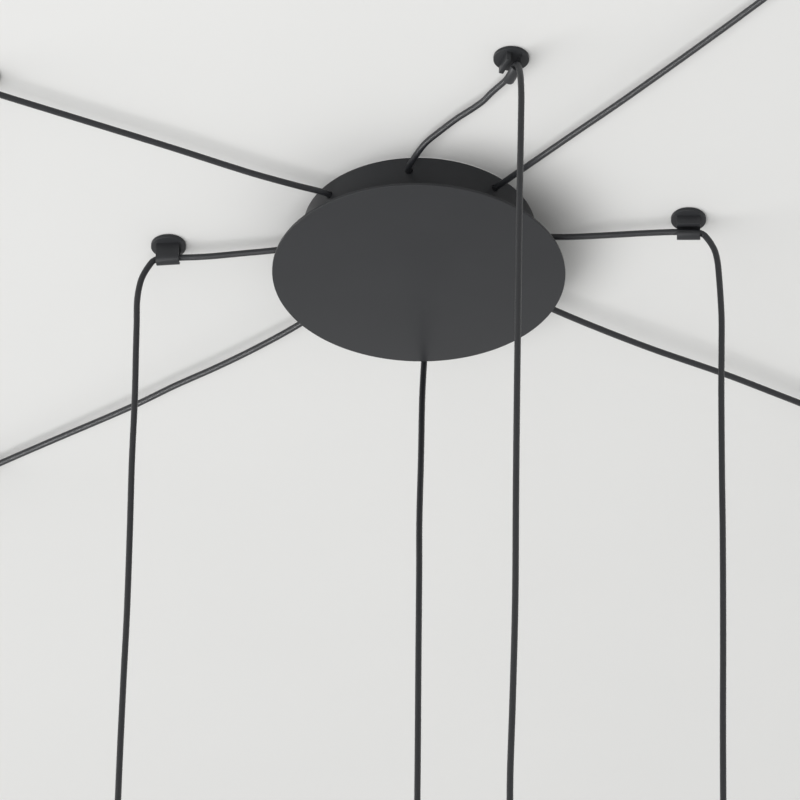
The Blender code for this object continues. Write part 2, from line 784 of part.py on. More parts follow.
def make_lampholders(parts, plastic):
    """A domed cap that grips the cord, over a holder with its socket open below."""
    cap_top = LAMP_LEVEL - SEAT
    cap_bottom = cap_top - CAP_HEIGHT
    shoulder = cap_bottom + CAP_SKIRT
    neck_bottom = cap_top - NECK_HEIGHT
    dome = [
        (
            NECK_RADIUS + (CAP_RADIUS - NECK_RADIUS) * math.sin(turn),
            shoulder + (neck_bottom - shoulder) * math.cos(turn),
        )
        for turn in [math.radians(90) * i / CAP_ARC_STEPS for i in range(CAP_ARC_STEPS + 1)]
    ]
    cap_profile = [(0.0, cap_top), (NECK_RADIUS, cap_top), *dome, (CAP_RADIUS, cap_bottom)]
    cap_profile.append((0.0, cap_bottom))
    cap = turned("lampholder_cap", cap_profile, HOLDER_STEPS, parts, plastic)
    top = cap_bottom - SEAT
    bottom = top - HOLDER_HEIGHT
    rim = CAP_RADIUS + HOLDER_RIM
    holder_profile = [
        (0.0, top),
        (CAP_RADIUS, top),
        (CAP_RADIUS, bottom + HOLDER_RIM * 2),
        (rim, bottom + HOLDER_RIM),
        (rim, bottom + HOLDER_EDGE),
        (rim - HOLDER_EDGE, bottom),
        (SOCKET_RADIUS, bottom),
        (SOCKET_RADIUS, bottom + SOCKET_DEPTH),
        (0.0, bottom + SOCKET_DEPTH),
    ]
    holder = turned("lampholder_body", holder_profile, HOLDER_STEPS, parts, plastic)
    numbers = range(1, CORD_COUNT + 1)
    places = []
    for number in numbers:
        end = cord_drop(number)[-1]
        places.append(Matrix.Translation((end.x, end.y, 0.0)))
    copies(cap, places, [f"lampholder_cap_{number}" for number in numbers])
    copies(holder, places, [f"lampholder_body_{number}" for number in numbers])


clear_scene()
parts = new_collection("multi_light_pendant")
cutters = new_collection("cutters")
paint = new_material("charcoal_powder_coat", (0.052, 0.054, 0.057), 0.6)
sheath = new_material("woven_cord_sheath", (0.030, 0.031, 0.034), 0.75)
steel = new_material("zinc_plated_steel", (0.55, 0.56, 0.57), 0.35, 1.0)
nylon = new_material("black_nylon", (0.025, 0.025, 0.026), 0.5)
terminal_plastic = new_material("white_terminal_plastic", (0.75, 0.74, 0.70), 0.45)
rubber = new_material("black_rubber", (0.02, 0.02, 0.02), 0.8)
holder_plastic = new_material("black_lampholder_plastic", (0.035, 0.036, 0.038), 0.45)

make_canopy(parts, cutters, paint)
make_cover(parts, paint)
make_magnets(parts, steel)
make_screws(parts, cutters, steel)
make_grommet(parts, rubber)
make_clamps(parts, nylon)
make_terminals(parts, terminal_plastic)
make_tails(parts, sheath)
make_cords(parts, sheath)
make_hooks(parts, cutters, paint)
make_lampholders(parts, holder_plastic)
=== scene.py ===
"""A multi-light pendant light under a white ceiling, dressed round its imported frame.

A charcoal canopy and disc, eight woven cords, seven ceiling hooks, eight lampholders, and what the canopy
holds inside. Everything is in metres: z = 0 is the ceiling, and the camera looks from -Y, from below.
"""

import math

import bmesh
import bpy
from mathutils import Matrix, Vector


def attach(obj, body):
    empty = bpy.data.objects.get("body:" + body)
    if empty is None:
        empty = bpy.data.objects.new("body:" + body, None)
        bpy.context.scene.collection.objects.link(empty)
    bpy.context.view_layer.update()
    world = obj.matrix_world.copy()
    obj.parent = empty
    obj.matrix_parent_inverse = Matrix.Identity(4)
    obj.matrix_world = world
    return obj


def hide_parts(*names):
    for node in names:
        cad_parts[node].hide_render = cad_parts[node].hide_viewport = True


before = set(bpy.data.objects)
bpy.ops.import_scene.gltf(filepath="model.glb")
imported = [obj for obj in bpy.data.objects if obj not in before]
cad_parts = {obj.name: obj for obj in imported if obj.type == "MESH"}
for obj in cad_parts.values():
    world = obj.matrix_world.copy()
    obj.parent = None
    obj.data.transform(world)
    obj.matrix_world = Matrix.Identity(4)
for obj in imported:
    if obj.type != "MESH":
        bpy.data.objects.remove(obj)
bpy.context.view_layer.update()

# The camera: a long lens that looks up at the ceiling from eight metres off and six below,
# a degree off level, as in the photograph.
CAMERA_PLACE = (-0.0170, -8.1693, -6.2103)
CAMERA_PITCH = math.radians(36.256)
CAMERA_ROLL = 0.0168
CAMERA_SENSOR = 36
CAMERA_LENS = 450
CAMERA_REACH = 60.0

bpy.ops.object.select_all(action="DESELECT")
bpy.ops.object.camera_add(location=CAMERA_PLACE)
camera = bpy.context.object
camera.name = "camera"
camera.matrix_world = (
    Matrix.Translation(CAMERA_PLACE)
    @ Matrix.Rotation(math.radians(90) + CAMERA_PITCH, 4, "X")
    @ Matrix.Rotation(CAMERA_ROLL, 4, "Z")
)
camera.data.sensor_width = CAMERA_SENSOR
camera.data.lens = CAMERA_LENS
camera.data.clip_end = CAMERA_REACH
bpy.context.scene.camera = camera
bpy.context.scene.view_settings.view_transform = "Standard"

# The room: soft daylight from all round and through a wide window at the front left. A white card at the
# left only shows in what is glossy.
ROOM_GLOW = 0.46
BACKDROP_GLOW = 0.80
BACKDROP_COLOUR = (1.0, 1.0, 0.99)
# Place, width, height and power
WINDOWS = {
    "wide_window": ((-3.70, -3.05, -6.60), 11.2, 5.0, 580.0),
    "side_card": ((-5.75, 1.00, -4.20), 2.4, 2.0, 420.0),
}


class Signal:
    """One output in a material's nodes. A sum on it adds Math nodes beside it."""

    def __init__(self, socket):
        self.socket = socket

    def math(self, operation, *others, clamp=False):
        tree = self.socket.id_data
        node = tree.nodes.new("ShaderNodeMath")
        node.operation = operation
        node.use_clamp = clamp
        for entry, value in zip(node.inputs, (self, *others)):
            if isinstance(value, Signal):
                tree.links.new(value.socket, entry)
            else:
                entry.default_value = value
        return Signal(node.outputs[0])

    def __add__(self, other):
        return self.math("ADD", other)

    def __sub__(self, other):
        return self.math("SUBTRACT", other)

    def __mul__(self, other):
        return self.math("MULTIPLY", other)

    def __truediv__(self, other):
        return self.math("DIVIDE", other)

    def __rsub__(self, other):
        return self.math("MULTIPLY", -1).math("ADD", other)

    __radd__ = __add__
    __rmul__ = __mul__


def looking(tree):
    """Gives a signal that is 1 where the room is looked at, straight, in gloss or through glass."""
    rays = tree.nodes.new("ShaderNodeLightPath").outputs
    straight = Signal(rays["Is Camera Ray"])
    in_gloss = Signal(rays["Is Glossy Ray"])
    through_glass = Signal(rays["Is Transmission Ray"])
    return straight.math("MAXIMUM", in_gloss).math("MAXIMUM", through_glass)


world = bpy.data.worlds.new("room")
bpy.context.scene.world = world
world.use_nodes = True
daylight = world.node_tree.nodes["Background"]
daylight.inputs["Color"].default_value = (*BACKDROP_COLOUR, 1)
glow = looking(world.node_tree) * (BACKDROP_GLOW - ROOM_GLOW) + ROOM_GLOW
world.node_tree.links.new(glow.socket, daylight.inputs["Strength"])

for name, (place, width, height, power) in WINDOWS.items():
    bpy.ops.object.light_add(type="AREA", location=place)
    window = bpy.context.object
    window.name = name
    window.data.shape = "RECTANGLE"
    window.data.size = width
    window.data.size_y = height
    window.data.energy = power
    window.visible_camera = False
    window.visible_diffuse = name != "side_card"
    window.rotation_euler = Vector(place).to_track_quat("Z", "Y").to_euler()

# Cords: three-core flex in a woven sheath, one from each outlet in the drum's wall. Each is clamped inside,
# runs along the ceiling, lies in its hook and hangs down to its lampholder. The sixth has no hook.
CORD_DIAMETER = 0.0065
CORD_RADIUS = CORD_DIAMETER / 2
CORD_LEVEL = -0.0175
CORD_COUNT = 8
CORD_SIDES = 20
CORD_STEP = 0.003
SEAT = 0.0003
CLAMP_OUTER = 0.1134
CANOPY_RADIUS = 0.1194
CORD_STRAIGHT = 0.006
FIRST_AZIMUTH = math.radians(-50.5)
LAMP_LEVEL = -0.930
SHEATH_DARK = (0.005, 0.0055, 0.0065)
SHEATH_LIGHT = (0.020, 0.0215, 0.026)
STRANDS_ROUND = 16

# How far each hook is from the canopy's middle, its azimuth from -Y, and the heading of its trough from +X
HOOKS = {
    1: (0.5053, math.radians(-61.25), math.radians(207)),
    2: (0.2998, math.radians(17.23), math.radians(-71)),
    3: (0.5748, math.radians(39.42), math.radians(-51)),
    4: (0.2764, math.radians(84.77), math.radians(-1.6)),
    5: (0.5140, math.radians(123.53), math.radians(31)),
    7: (0.6259, math.radians(227.85), math.radians(139)),
    8: (0.2601, math.radians(262.29), math.radians(173)),
}

# The route of each cord from its outlet to its hook, and cord 6's down past the rim of the disc
ALONG_CEILING = {
    1: (
        (-0.1251, -0.0903, -0.0170),
        (-0.1700, -0.1100, -0.0175),
        (-0.2550, -0.1527, -0.0180),
        (-0.3400, -0.1928, -0.0175),
    ),
    2: (
        (-0.0063, -0.1415, -0.0176),
        (0.0040, -0.1650, -0.0178),
        (0.0199, -0.1871, -0.0178),
        (0.0351, -0.2065, -0.0178),
        (0.0503, -0.2230, -0.0178),
        (0.0612, -0.2360, -0.0178),
        (0.0700, -0.2510, -0.0180),
    ),
    3: (
        (0.1580, -0.1915, -0.0191),
        (0.1900, -0.2305, -0.0204),
        (0.2290, -0.2780, -0.0208),
        (0.2980, -0.3620, -0.0200),
    ),
    4: ((0.1500, -0.0142, -0.0190), (0.1850, -0.0172, -0.0187), (0.2300, -0.0215, -0.0179)),
    5: (
        (0.1470, 0.1150, -0.0189),
        (0.2350, 0.1665, -0.0219),
        (0.3220, 0.2160, -0.0205),
        (0.3800, 0.2530, -0.0191),
    ),
    6: (
        (0.0112, 0.1420, -0.0205),
        (0.0098, 0.1508, -0.0278),
        (0.0085, 0.1556, -0.0380),
        (0.0075, 0.1576, -0.0500),
        (0.0069, 0.1580, -0.0640),
    ),
    7: (
        (-0.1250, 0.1375, -0.0250),
        (-0.1700, 0.1767, -0.0274),
        (-0.2100, 0.2115, -0.0264),
        (-0.2520, 0.2464, -0.0245),
        (-0.2960, 0.2830, -0.0247),
        (-0.3820, 0.3530, -0.0205),
        (-0.4300, 0.3925, -0.0180),
    ),
    8: ((-0.1500, 0.0168, -0.0191), (-0.1800, 0.0225, -0.0190), (-0.2200, 0.0290, -0.0194)),
}

# The way over a hook: along its trough, across it towards the web, and height
OVER_HOOK = (
    (-0.0140, 0.0002, -0.0181),
    (-0.0020, 0.0005, -0.0182),
    (0.0070, 0.0008, -0.0184),
    (0.0120, 0.0009, -0.0191),
    (0.0156, 0.0009, -0.0212),
    (0.0192, 0.0007, -0.0262),
    (0.0233, 0.0004, -0.0336),
    (0.0269, 0.0002, -0.0428),
    (0.0294, 0.0000, -0.0560),
    (0.0306, 0.0000, -0.0710),
)

# Where a cord that doesn't hang quite straight passes on its way down. The others hang plumb
DROPS = {
    2: (
        (0.0987, -0.3150, -0.1000),
        (0.0985, -0.3148, -0.1300),
        (0.0978, -0.3148, -0.2130),
        (0.0971, -0.3148, -0.3800),
        (0.0967, -0.3148, -0.5400),
        (0.0968, -0.3148, -0.6900),
        (0.0952, -0.3148, -0.8000),
        (0.0934, -0.3148, -0.8900),
    ),
    4: (
        (0.3074, -0.0261, -0.1000),
        (0.3084, -0.0261, -0.1280),
        (0.3082, -0.0261, -0.1650),
        (0.3077, -0.0261, -0.2100),
        (0.3077, -0.0261, -0.3200),
        (0.3081, -0.0261, -0.4000),
        (0.3078, -0.0261, -0.5200),
        (0.3070, -0.0261, -0.6300),
        (0.3068, -0.0261, -0.7100),
        (0.3068, -0.0261, -0.8200),
    ),
    6: (
        (0.0059, 0.1580, -0.1000),
        (0.0056, 0.1580, -0.1750),
        (0.0049, 0.1580, -0.2600),
        (0.0055, 0.1580, -0.3170),
        (0.0061, 0.1580, -0.4300),
        (0.0067, 0.1580, -0.5200),
        (0.0071, 0.1580, -0.6000),
        (0.0071, 0.1580, -0.7800),
    ),
    8: (
        (-0.2877, 0.0386, -0.1000),
        (-0.2875, 0.0386, -0.1300),
        (-0.2869, 0.0386, -0.1900),
        (-0.2875, 0.0386, -0.2750),
        (-0.2870, 0.0386, -0.3600),
        (-0.2870, 0.0386, -0.4650),
        (-0.2879, 0.0386, -0.5350),
        (-0.2889, 0.0386, -0.6400),
        (-0.2892, 0.0386, -0.7200),
        (-0.2892, 0.0386, -0.8200),
    ),
}


def azimuth_of(number):
    return FIRST_AZIMUTH + (number - 1) * math.tau / CORD_COUNT


def around(azimuth, radius, height=0.0):
    return Vector((radius * math.sin(azimuth), -radius * math.cos(azimuth), height))


def cord_route(number):
    """From the clamp through the wall, along the ceiling, over the hook and down to the lampholder."""
    azimuth = azimuth_of(number)
    radii = (CLAMP_OUTER + SEAT, CANOPY_RADIUS, CANOPY_RADIUS + CORD_STRAIGHT)
    route = [around(azimuth, radius, CORD_LEVEL) for radius in radii]
    route += [Vector(point) for point in ALONG_CEILING[number]]
    if number in HOOKS:
        reach, hook_azimuth, heading = HOOKS[number]
        turn = Matrix.Translation(around(hook_azimuth, reach)) @ Matrix.Rotation(heading, 4, "Z")
        route += [turn @ Vector(point) for point in OVER_HOOK]
    route += [Vector(point) for point in DROPS.get(number, ())]
    last = route[-1]
    if number not in DROPS:
        route.append(Vector((last.x, last.y, (last.z + LAMP_LEVEL) / 2)))
    route.append(Vector((last.x, last.y, LAMP_LEVEL)))
    return route


def span_point(before, start, end, after, share):
    """A point of the centripetal Catmull-Rom curve between two route points."""
    knots = [0.0]
    for a, b in ((before, start), (start, end), (end, after)):
        knots.append(knots[-1] + math.sqrt((b - a).length))
    k0, k1, k2, k3 = knots
    k = k1 + (k2 - k1) * share
    first = before.lerp(start, (k - k0) / (k1 - k0))
    second = start.lerp(end, (k - k1) / (k2 - k1))
    third = end.lerp(after, (k - k2) / (k3 - k2))
    left = first.lerp(second, (k - k0) / (k2 - k0))
    right = second.lerp(third, (k - k1) / (k3 - k1))
    return left.lerp(right, (k - k1) / (k2 - k1))


def smooth_line(route, step):
    """Points a step apart or closer on the smooth curve through the route."""
    ends = [route[0] * 2 - route[1], *route, route[-1] * 2 - route[-2]]
    points = []
    for before, start, end, after in zip(ends, ends[1:], ends[2:], ends[3:]):
        count = math.ceil((end - start).length / step)
        points += [span_point(before, start, end, after, i / count) for i in range(count)]
    return [*points, route[-1]]


def tube(name, line, radius, sides):
    """A round tube along the line, with flat ends. Its UV map holds metres, round it and along it."""
    side = (line[1] - line[0]).orthogonal().normalized()
    corners, along = [], [0.0]
    for i, point in enumerate(line):
        way = (line[min(i + 1, len(line) - 1)] - line[max(i - 1, 0)]).normalized()
        side = (side - way * side.dot(way)).normalized()
        other = way.cross(side)
        for j in range(sides):
            turn = math.tau * j / sides
            corners.append(point + (side * math.cos(turn) + other * math.sin(turn)) * radius)
        if i:
            along.append(along[-1] + (point - line[i - 1]).length)
    faces = []
    for i in range(len(line) - 1):
        for j in range(sides):
            k = (j + 1) % sides
            faces.append((i * sides + j, i * sides + k, (i + 1) * sides + k, (i + 1) * sides + j))
    last = (len(line) - 1) * sides
    faces.append(tuple(reversed(range(sides))))
    faces.append(tuple(last + j for j in range(sides)))
    mesh = bpy.data.meshes.new(name)
    mesh.from_pydata(corners, [], faces)
    layer = mesh.uv_layers.new(name="sheath")
    for face in mesh.polygons[:-2]:
        ring, first = divmod(face.index, sides)
        places = [(first, ring), (first + 1, ring), (first + 1, ring + 1), (first, ring + 1)]
        for loop, (round_it, down_it) in zip(face.loop_indices, places):
            layer.data[loop].uv = (math.tau * radius * round_it / sides, along[down_it])
    mesh.shade_smooth()
    mesh.set_sharp_from_angle(angle=math.radians(50))
    piece = bpy.data.objects.new(name, mesh)
    bpy.context.scene.collection.objects.link(piece)
    return piece


def dressed(piece, finish, body, slot, *nodes):
    """Gives the piece its finish, the body that it rides on and the nodes that it stands for."""
    piece.data.materials.clear()
    piece.data.materials.append(finish.material)
    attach(piece, body)
    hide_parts(*nodes)


class Finish:
    """A material with its shader, grown node by node."""

    def __init__(self, name, colour, roughness, **sockets):
        self.material = bpy.data.materials.new(name)
        self.material.use_nodes = True
        self.material.diffuse_color = (*colour, 1)
        self.tree = self.material.node_tree
        self.shader = self.tree.nodes["Principled BSDF"]
        self.output = self.tree.nodes["Material Output"]
        self.feed(self.shader, {"Base Color": (*colour, 1), "Roughness": roughness})
        self.feed(self.shader, {key.replace("_", " "): value for key, value in sockets.items()})

    def feed(self, node, values):
        for name, value in values.items():
            entry = next(s for s in node.inputs if s.name == name and s.enabled)
            if isinstance(value, Signal):
                self.tree.links.new(value.socket, entry)
            else:
                entry.default_value = value

    def node(self, kind, settings, values, output=0):
        """Adds a node of this kind, sets it up, feeds its sockets and gives back one of its outputs."""
        node = self.tree.nodes.new("ShaderNode" + kind)
        for name, value in settings.items():
            setattr(node, name, value)
        self.feed(node, values)
        return Signal(node.outputs[output])

    def noise(self, scale, detail):
        place = self.node("TexCoord", {}, {}, "Object")
        return self.node("TexNoise", {}, {"Vector": place, "Scale": scale, "Detail": detail}, "Fac")

    def shade(self, share, dark, light):
        """Sets the base colour to a mix of two colours."""
        settings = {"data_type": "RGBA"}
        values = {"Factor": share, "A": (*dark, 1), "B": (*light, 1)}
        self.feed(self.shader, {"Base Color": self.node("Mix", settings, values, "Result")})
        return self

    def bumps(self, height, strength, distance):
        values = {"Height": height, "Strength": strength, "Distance": distance}
        self.feed(self.shader, {"Normal": self.node("Bump", {}, values, "Normal")})
        return self

    def rough(self, value):
        self.feed(self.shader, {"Roughness": value})
        return self

    def blend(self, share, first, second):
        """Mixes two shaders, and gives back the mix."""
        mixed = self.tree.nodes.new("ShaderNodeMixShader")
        for entry, signal in zip(mixed.inputs, (share, first, second)):
            self.tree.links.new(signal.socket, entry)
        return Signal(mixed.outputs[0])


def woven_sheath(name, dark, light):
    """Strands that cross over and under each other on the slant, sixteen to a turn."""
    finish = Finish(name, light, 0.4, Specular_IOR_Level=0.45)
    strand = math.tau * CORD_RADIUS / STRANDS_ROUND
    uv = finish.node("TexCoord", {}, {}, "UV")
    round_it = finish.node("SeparateXYZ", {}, {"Vector": uv}, "X") / strand
    down_it = finish.node("SeparateXYZ", {}, {"Vector": uv}, "Y") / strand
    one_way = round_it + down_it
    other_way = round_it - down_it
    on_top = (one_way.math("FLOOR") + other_way.math("FLOOR")).math("PINGPONG", 1.0)
    first = (one_way * math.pi).math("SINE").math("ABSOLUTE")
    second = (other_way * math.pi).math("SINE").math("ABSOLUTE")
    height = first * on_top + second * (1 - on_top)
    fuzz = finish.noise(1600.0, 3.0)
    # The base colour is darker in the gaps between strands and lighter on their crests: painted shade and
    # painted light in the weave. The fuzz adds random tone on top.
    finish.shade((height * 0.75 + fuzz * 0.35).math("POWER", 1.2, clamp=True), dark, light)
    finish.bumps(height + fuzz * 0.3, 0.55, 0.00018)
    return finish.rough(0.46 - height * 0.16)


sheath = woven_sheath("woven_sheath", SHEATH_DARK, SHEATH_LIGHT)
cords, cord_lines = {}, {}
for number in range(1, CORD_COUNT + 1):
    line = smooth_line(cord_route(number), CORD_STEP)
    cord = tube(f"woven_cord_{number}", line, CORD_RADIUS, CORD_SIDES)
    dressed(cord, sheath, "fixture", "cord_sheath", f"cord_{number}")
    cords[number], cord_lines[number] = cord, line

# The canopy: a pan drawn from 1.5 mm sheet steel, with a rolled upper edge, eight plain holes for the
# cords, three for its screws and one for the mains. It is powder coated charcoal inside and out, like
# the disc and the hooks.
CANOPY_DEPTH = 0.0561
CANOPY_WALL = 0.0015
CANOPY_EDGE = 0.0012
CANOPY_LIP = 0.0003
CANOPY_SEGMENTS = 192
INNER_RADIUS = CANOPY_RADIUS - CANOPY_WALL
CORD_HOLE_RADIUS = 0.00385
SCREW_HOLE_RADIUS = 0.0026
SCREW_CIRCLE = 0.0879
SCREW_AZIMUTHS = [azimuth_of(number + 0.5) for number in (3, 5, 8)]
ENTRY_PLACE = (0.017, -0.0565)
ENTRY_RADIUS = 0.011
COAT_DARK = (0.027, 0.028, 0.0302)
COAT_LIGHT = (0.0395, 0.0408, 0.044)
SMOOTH_BELOW = math.radians(35)
MERGE_BELOW = 0.000002
DRILL_LENGTH = CANOPY_WALL * 6


def arc(centre, radius, start, end, steps):
    """Points on an arc from one angle to another, in degrees."""
    turns = [math.radians(start + (end - start) * i / steps) for i in range(steps + 1)]
    return [(centre[0] + radius * math.cos(a), centre[1] + radius * math.sin(a)) for a in turns]


def alone(piece):
    """Leaves only this piece selected."""
    bpy.ops.object.select_all(action="DESELECT")
    piece.select_set(True)
    bpy.context.view_layer.objects.active = piece


def sewn(fill=False):
    """Ends edit mode with doubled corners merged, holes filled where asked, and all faces outwards."""
    bpy.ops.mesh.select_mode(type="VERT")
    bpy.ops.mesh.select_all(action="SELECT")
    bpy.ops.mesh.remove_doubles(threshold=MERGE_BELOW)
    if fill:
        bpy.ops.mesh.fill_holes(sides=0)
    bpy.ops.mesh.normals_make_consistent(inside=False)
    bpy.ops.object.mode_set(mode="OBJECT")


def turned(name, profile, segments, middle=(0.0, 0.0), through=False):
    """A round piece, pulled out ring by ring along its profile of radii and heights.

    It is closed by its first and last rings, or where it is hollow through, it comes back to its first.
    """
    bpy.ops.object.select_all(action="DESELECT")
    fill = "NOTHING" if through else "NGON"
    radius, height = profile[0]
    bpy.ops.mesh.primitive_circle_add(
        vertices=segments, radius=radius, fill_type=fill, location=(*middle, height)
    )
    piece = bpy.context.object
    piece.name = name
    bpy.ops.object.mode_set(mode="EDIT")
    bpy.ops.mesh.select_mode(type="VERT")
    bpy.ops.mesh.select_all(action="SELECT")
    rings = [*profile, profile[0]] if through else profile
    for (near, low), (far, high) in zip(rings, rings[1:]):
        bpy.ops.mesh.extrude_region_move(TRANSFORM_OT_translate={"value": (0, 0, high - low)})
        grow = far / near
        bpy.ops.transform.resize(value=(grow, grow, 1), center_override=(*middle, high))
    sewn()
    return piece


def put_away(*patterns):
    for pattern in patterns:
        bpy.data.objects.remove(pattern, do_unlink=True)


def combined(piece, tool, operation):
    """Joins the tool to the piece, or cuts it out of it, and takes the tool away."""
    alone(piece)
    change = piece.modifiers.new("tool", "BOOLEAN")
    change.operation = operation
    change.object = tool
    bpy.ops.object.modifier_apply(modifier=change.name)
    put_away(tool)


def drilled(piece, middle, way, radius, depth, sides=48):
    """Cuts a round hole through the middle point, this way."""
    bpy.ops.object.select_all(action="DESELECT")
    turn = Vector(way).to_track_quat("Z", "Y").to_euler()
    bpy.ops.mesh.primitive_cylinder_add(
        vertices=sides, radius=radius, depth=depth, location=middle, rotation=turn
    )
    combined(piece, bpy.context.object, "DIFFERENCE")


def edged(piece, width, steps=2, above=40):
    """Rounds the edges that are sharper than this."""
    alone(piece)
    bevel = piece.modifiers.new("edges", "BEVEL")
    bevel.width = width
    bevel.segments = steps
    bevel.limit_method = "ANGLE"
    bevel.angle_limit = math.radians(above)
    bpy.ops.object.modifier_apply(modifier=bevel.name)


def settled(piece, place=None):
    """Sets the piece at its place, makes the place part of its mesh, and shades it smooth."""
    alone(piece)
    if place:
        piece.matrix_world = place @ piece.matrix_world
    bpy.ops.object.transform_apply(location=True, rotation=True, scale=True)
    bpy.ops.object.mode_set(mode="EDIT")
    sewn()
    bpy.ops.object.shade_smooth_by_angle(angle=SMOOTH_BELOW)
    return piece


def copied(piece, name, place):
    """A copy of a settled piece at its own place, with its own mesh."""
    alone(piece)
    bpy.ops.object.duplicate()
    copy = bpy.context.object
    copy.name = name
    return settled(copy, place)


def powder_coat(name):
    """Baked powder: charcoal, matt, with a fine orange peel and a few paler specks."""
    finish = Finish(name, COAT_LIGHT, 0.36, Specular_IOR_Level=0.2)
    peel = finish.noise(900.0, 2.0)
    cloud = finish.noise(14.0, 3.0)
    specks = finish.noise(5200.0, 1.0)
    finish.shade((cloud * 0.5 + specks * 0.5).math("ADD", 0.0, clamp=True), COAT_DARK, COAT_LIGHT)
    finish.bumps(peel, 0.22, 0.00012)
    return finish.rough(0.33 + cloud * 0.06 + peel * 0.06)


coat = powder_coat("charcoal_powder_coat")
canopy_profile = [
    *arc((CANOPY_RADIUS - CANOPY_EDGE, -CANOPY_EDGE), CANOPY_EDGE, 90, 0, 6),
    *arc((CANOPY_RADIUS - CANOPY_LIP, CANOPY_LIP - CANOPY_DEPTH), CANOPY_LIP, 0, -90, 3),
    *arc((INNER_RADIUS + CANOPY_LIP, CANOPY_LIP - CANOPY_DEPTH), CANOPY_LIP, -90, -180, 3),
    *arc((INNER_RADIUS - CANOPY_EDGE, -CANOPY_WALL - CANOPY_EDGE), CANOPY_EDGE, 0, 90, 6),
]
canopy = turned("canopy_pan", canopy_profile, CANOPY_SEGMENTS)
for number in range(1, CORD_COUNT + 1):
    middle = around(azimuth_of(number), CANOPY_RADIUS, CORD_LEVEL)
    drilled(canopy, middle, around(azimuth_of(number), 1), CORD_HOLE_RADIUS, DRILL_LENGTH)
for azimuth in SCREW_AZIMUTHS:
    drilled(canopy, around(azimuth, SCREW_CIRCLE), (0, 0, 1), SCREW_HOLE_RADIUS, DRILL_LENGTH)
drilled(canopy, (*ENTRY_PLACE, 0), (0, 0, 1), ENTRY_RADIUS, DRILL_LENGTH, 64)
settled(canopy)
dressed(canopy, coat, "fixture", "charcoal_powder_coat", "canopy_body")

# The cover: a disc of 3 mm sheet steel with softened edges, laser cut. A rolled ring tacked to its back
# centres it in the pan, three magnets hold it, and it pulls straight down for access to the wiring.
COVER_RADIUS = 0.150
COVER_TOP = -0.0564
COVER_THICKNESS = 0.003
COVER_EDGE = 0.0005
COVER_SEGMENTS = 256
RING_OUTER = 0.1172
RING_WALL = 0.0015
RING_HEIGHT = 0.010
RING_EDGE = 0.0003
TACK_LENGTH = 0.007
TACK_RADIUS = 0.0011
TACK_COUNT = 6
FIRST_TACK = 0.25

cover_bottom = COVER_TOP - COVER_THICKNESS
ring_inner = RING_OUTER - RING_WALL
ring_top = COVER_TOP + RING_HEIGHT
cover_profile = [
    *arc((COVER_RADIUS - COVER_EDGE, cover_bottom + COVER_EDGE), COVER_EDGE, -90, 0, 4),
    *arc((COVER_RADIUS - COVER_EDGE, COVER_TOP - COVER_EDGE), COVER_EDGE, 0, 90, 4),
    (RING_OUTER, COVER_TOP),
    *arc((RING_OUTER - RING_EDGE, ring_top - RING_EDGE), RING_EDGE, 0, 90, 3),
    *arc((ring_inner + RING_EDGE, ring_top - RING_EDGE), RING_EDGE, 90, 180, 3),
    (ring_inner, COVER_TOP),
]
cover = turned("cover_plate", cover_profile, COVER_SEGMENTS)
for i in range(TACK_COUNT):
    azimuth = math.tau * (i + FIRST_TACK) / TACK_COUNT
    bpy.ops.object.select_all(action="DESELECT")
    bpy.ops.mesh.primitive_uv_sphere_add(
        segments=20, ring_count=12, radius=TACK_RADIUS, location=around(azimuth, ring_inner, COVER_TOP)
    )
    tack = bpy.context.object
    tack.rotation_euler.z = azimuth
    tack.scale.x = TACK_LENGTH / TACK_RADIUS / 2
    combined(cover, tack, "UNION")
settled(cover)
dressed(cover, coat, "cover", "charcoal_powder_coat", "cover_disc")

# The magnet posts and their pot magnets: a round steel post welded under the pan's top, with a magnet in
# a zinc plated pot held on its end by a countersunk screw.
POST_CIRCLE = 0.0849
POST_RADIUS = 0.004
POST_AZIMUTHS = [azimuth_of(number + 0.5) for number in (1, 4, 7)]
MAGNET_RADIUS = 0.010
MAGNET_TOP = -0.0511
MAGNET_BOTTOM = -0.0561
MAGNET_HOLE_RADIUS = 0.0022
MAGNET_EDGE = 0.0004
POT_WALL = 0.0012
POT_HOLLOW = 0.0036
MAGNET_INSET = 0.0004
MAGNET_SCREW_RADIUS = MAGNET_HOLE_RADIUS * 2 - 0.0004
RECESS_SIZE = (MAGNET_HOLE_RADIUS * 2, 0.0007, 0.0036)
ZINC = (0.50, 0.51, 0.53)
ZINC_DULL = (0.36, 0.37, 0.39)
FERRITE = (0.030, 0.030, 0.032)
FERRITE_GREY = (0.055, 0.054, 0.056)


def zinc_plate(name):
    """Bright zinc with finger-dulled patches."""
    finish = Finish(name, ZINC, 0.34, Metallic=1.0)
    cloud = finish.noise(160.0, 4.0)
    finish.shade(cloud, ZINC_DULL, ZINC)
    finish.bumps(finish.noise(2600.0, 3.0), 0.10, 0.00006)
    return finish.rough(0.26 + cloud * 0.22)


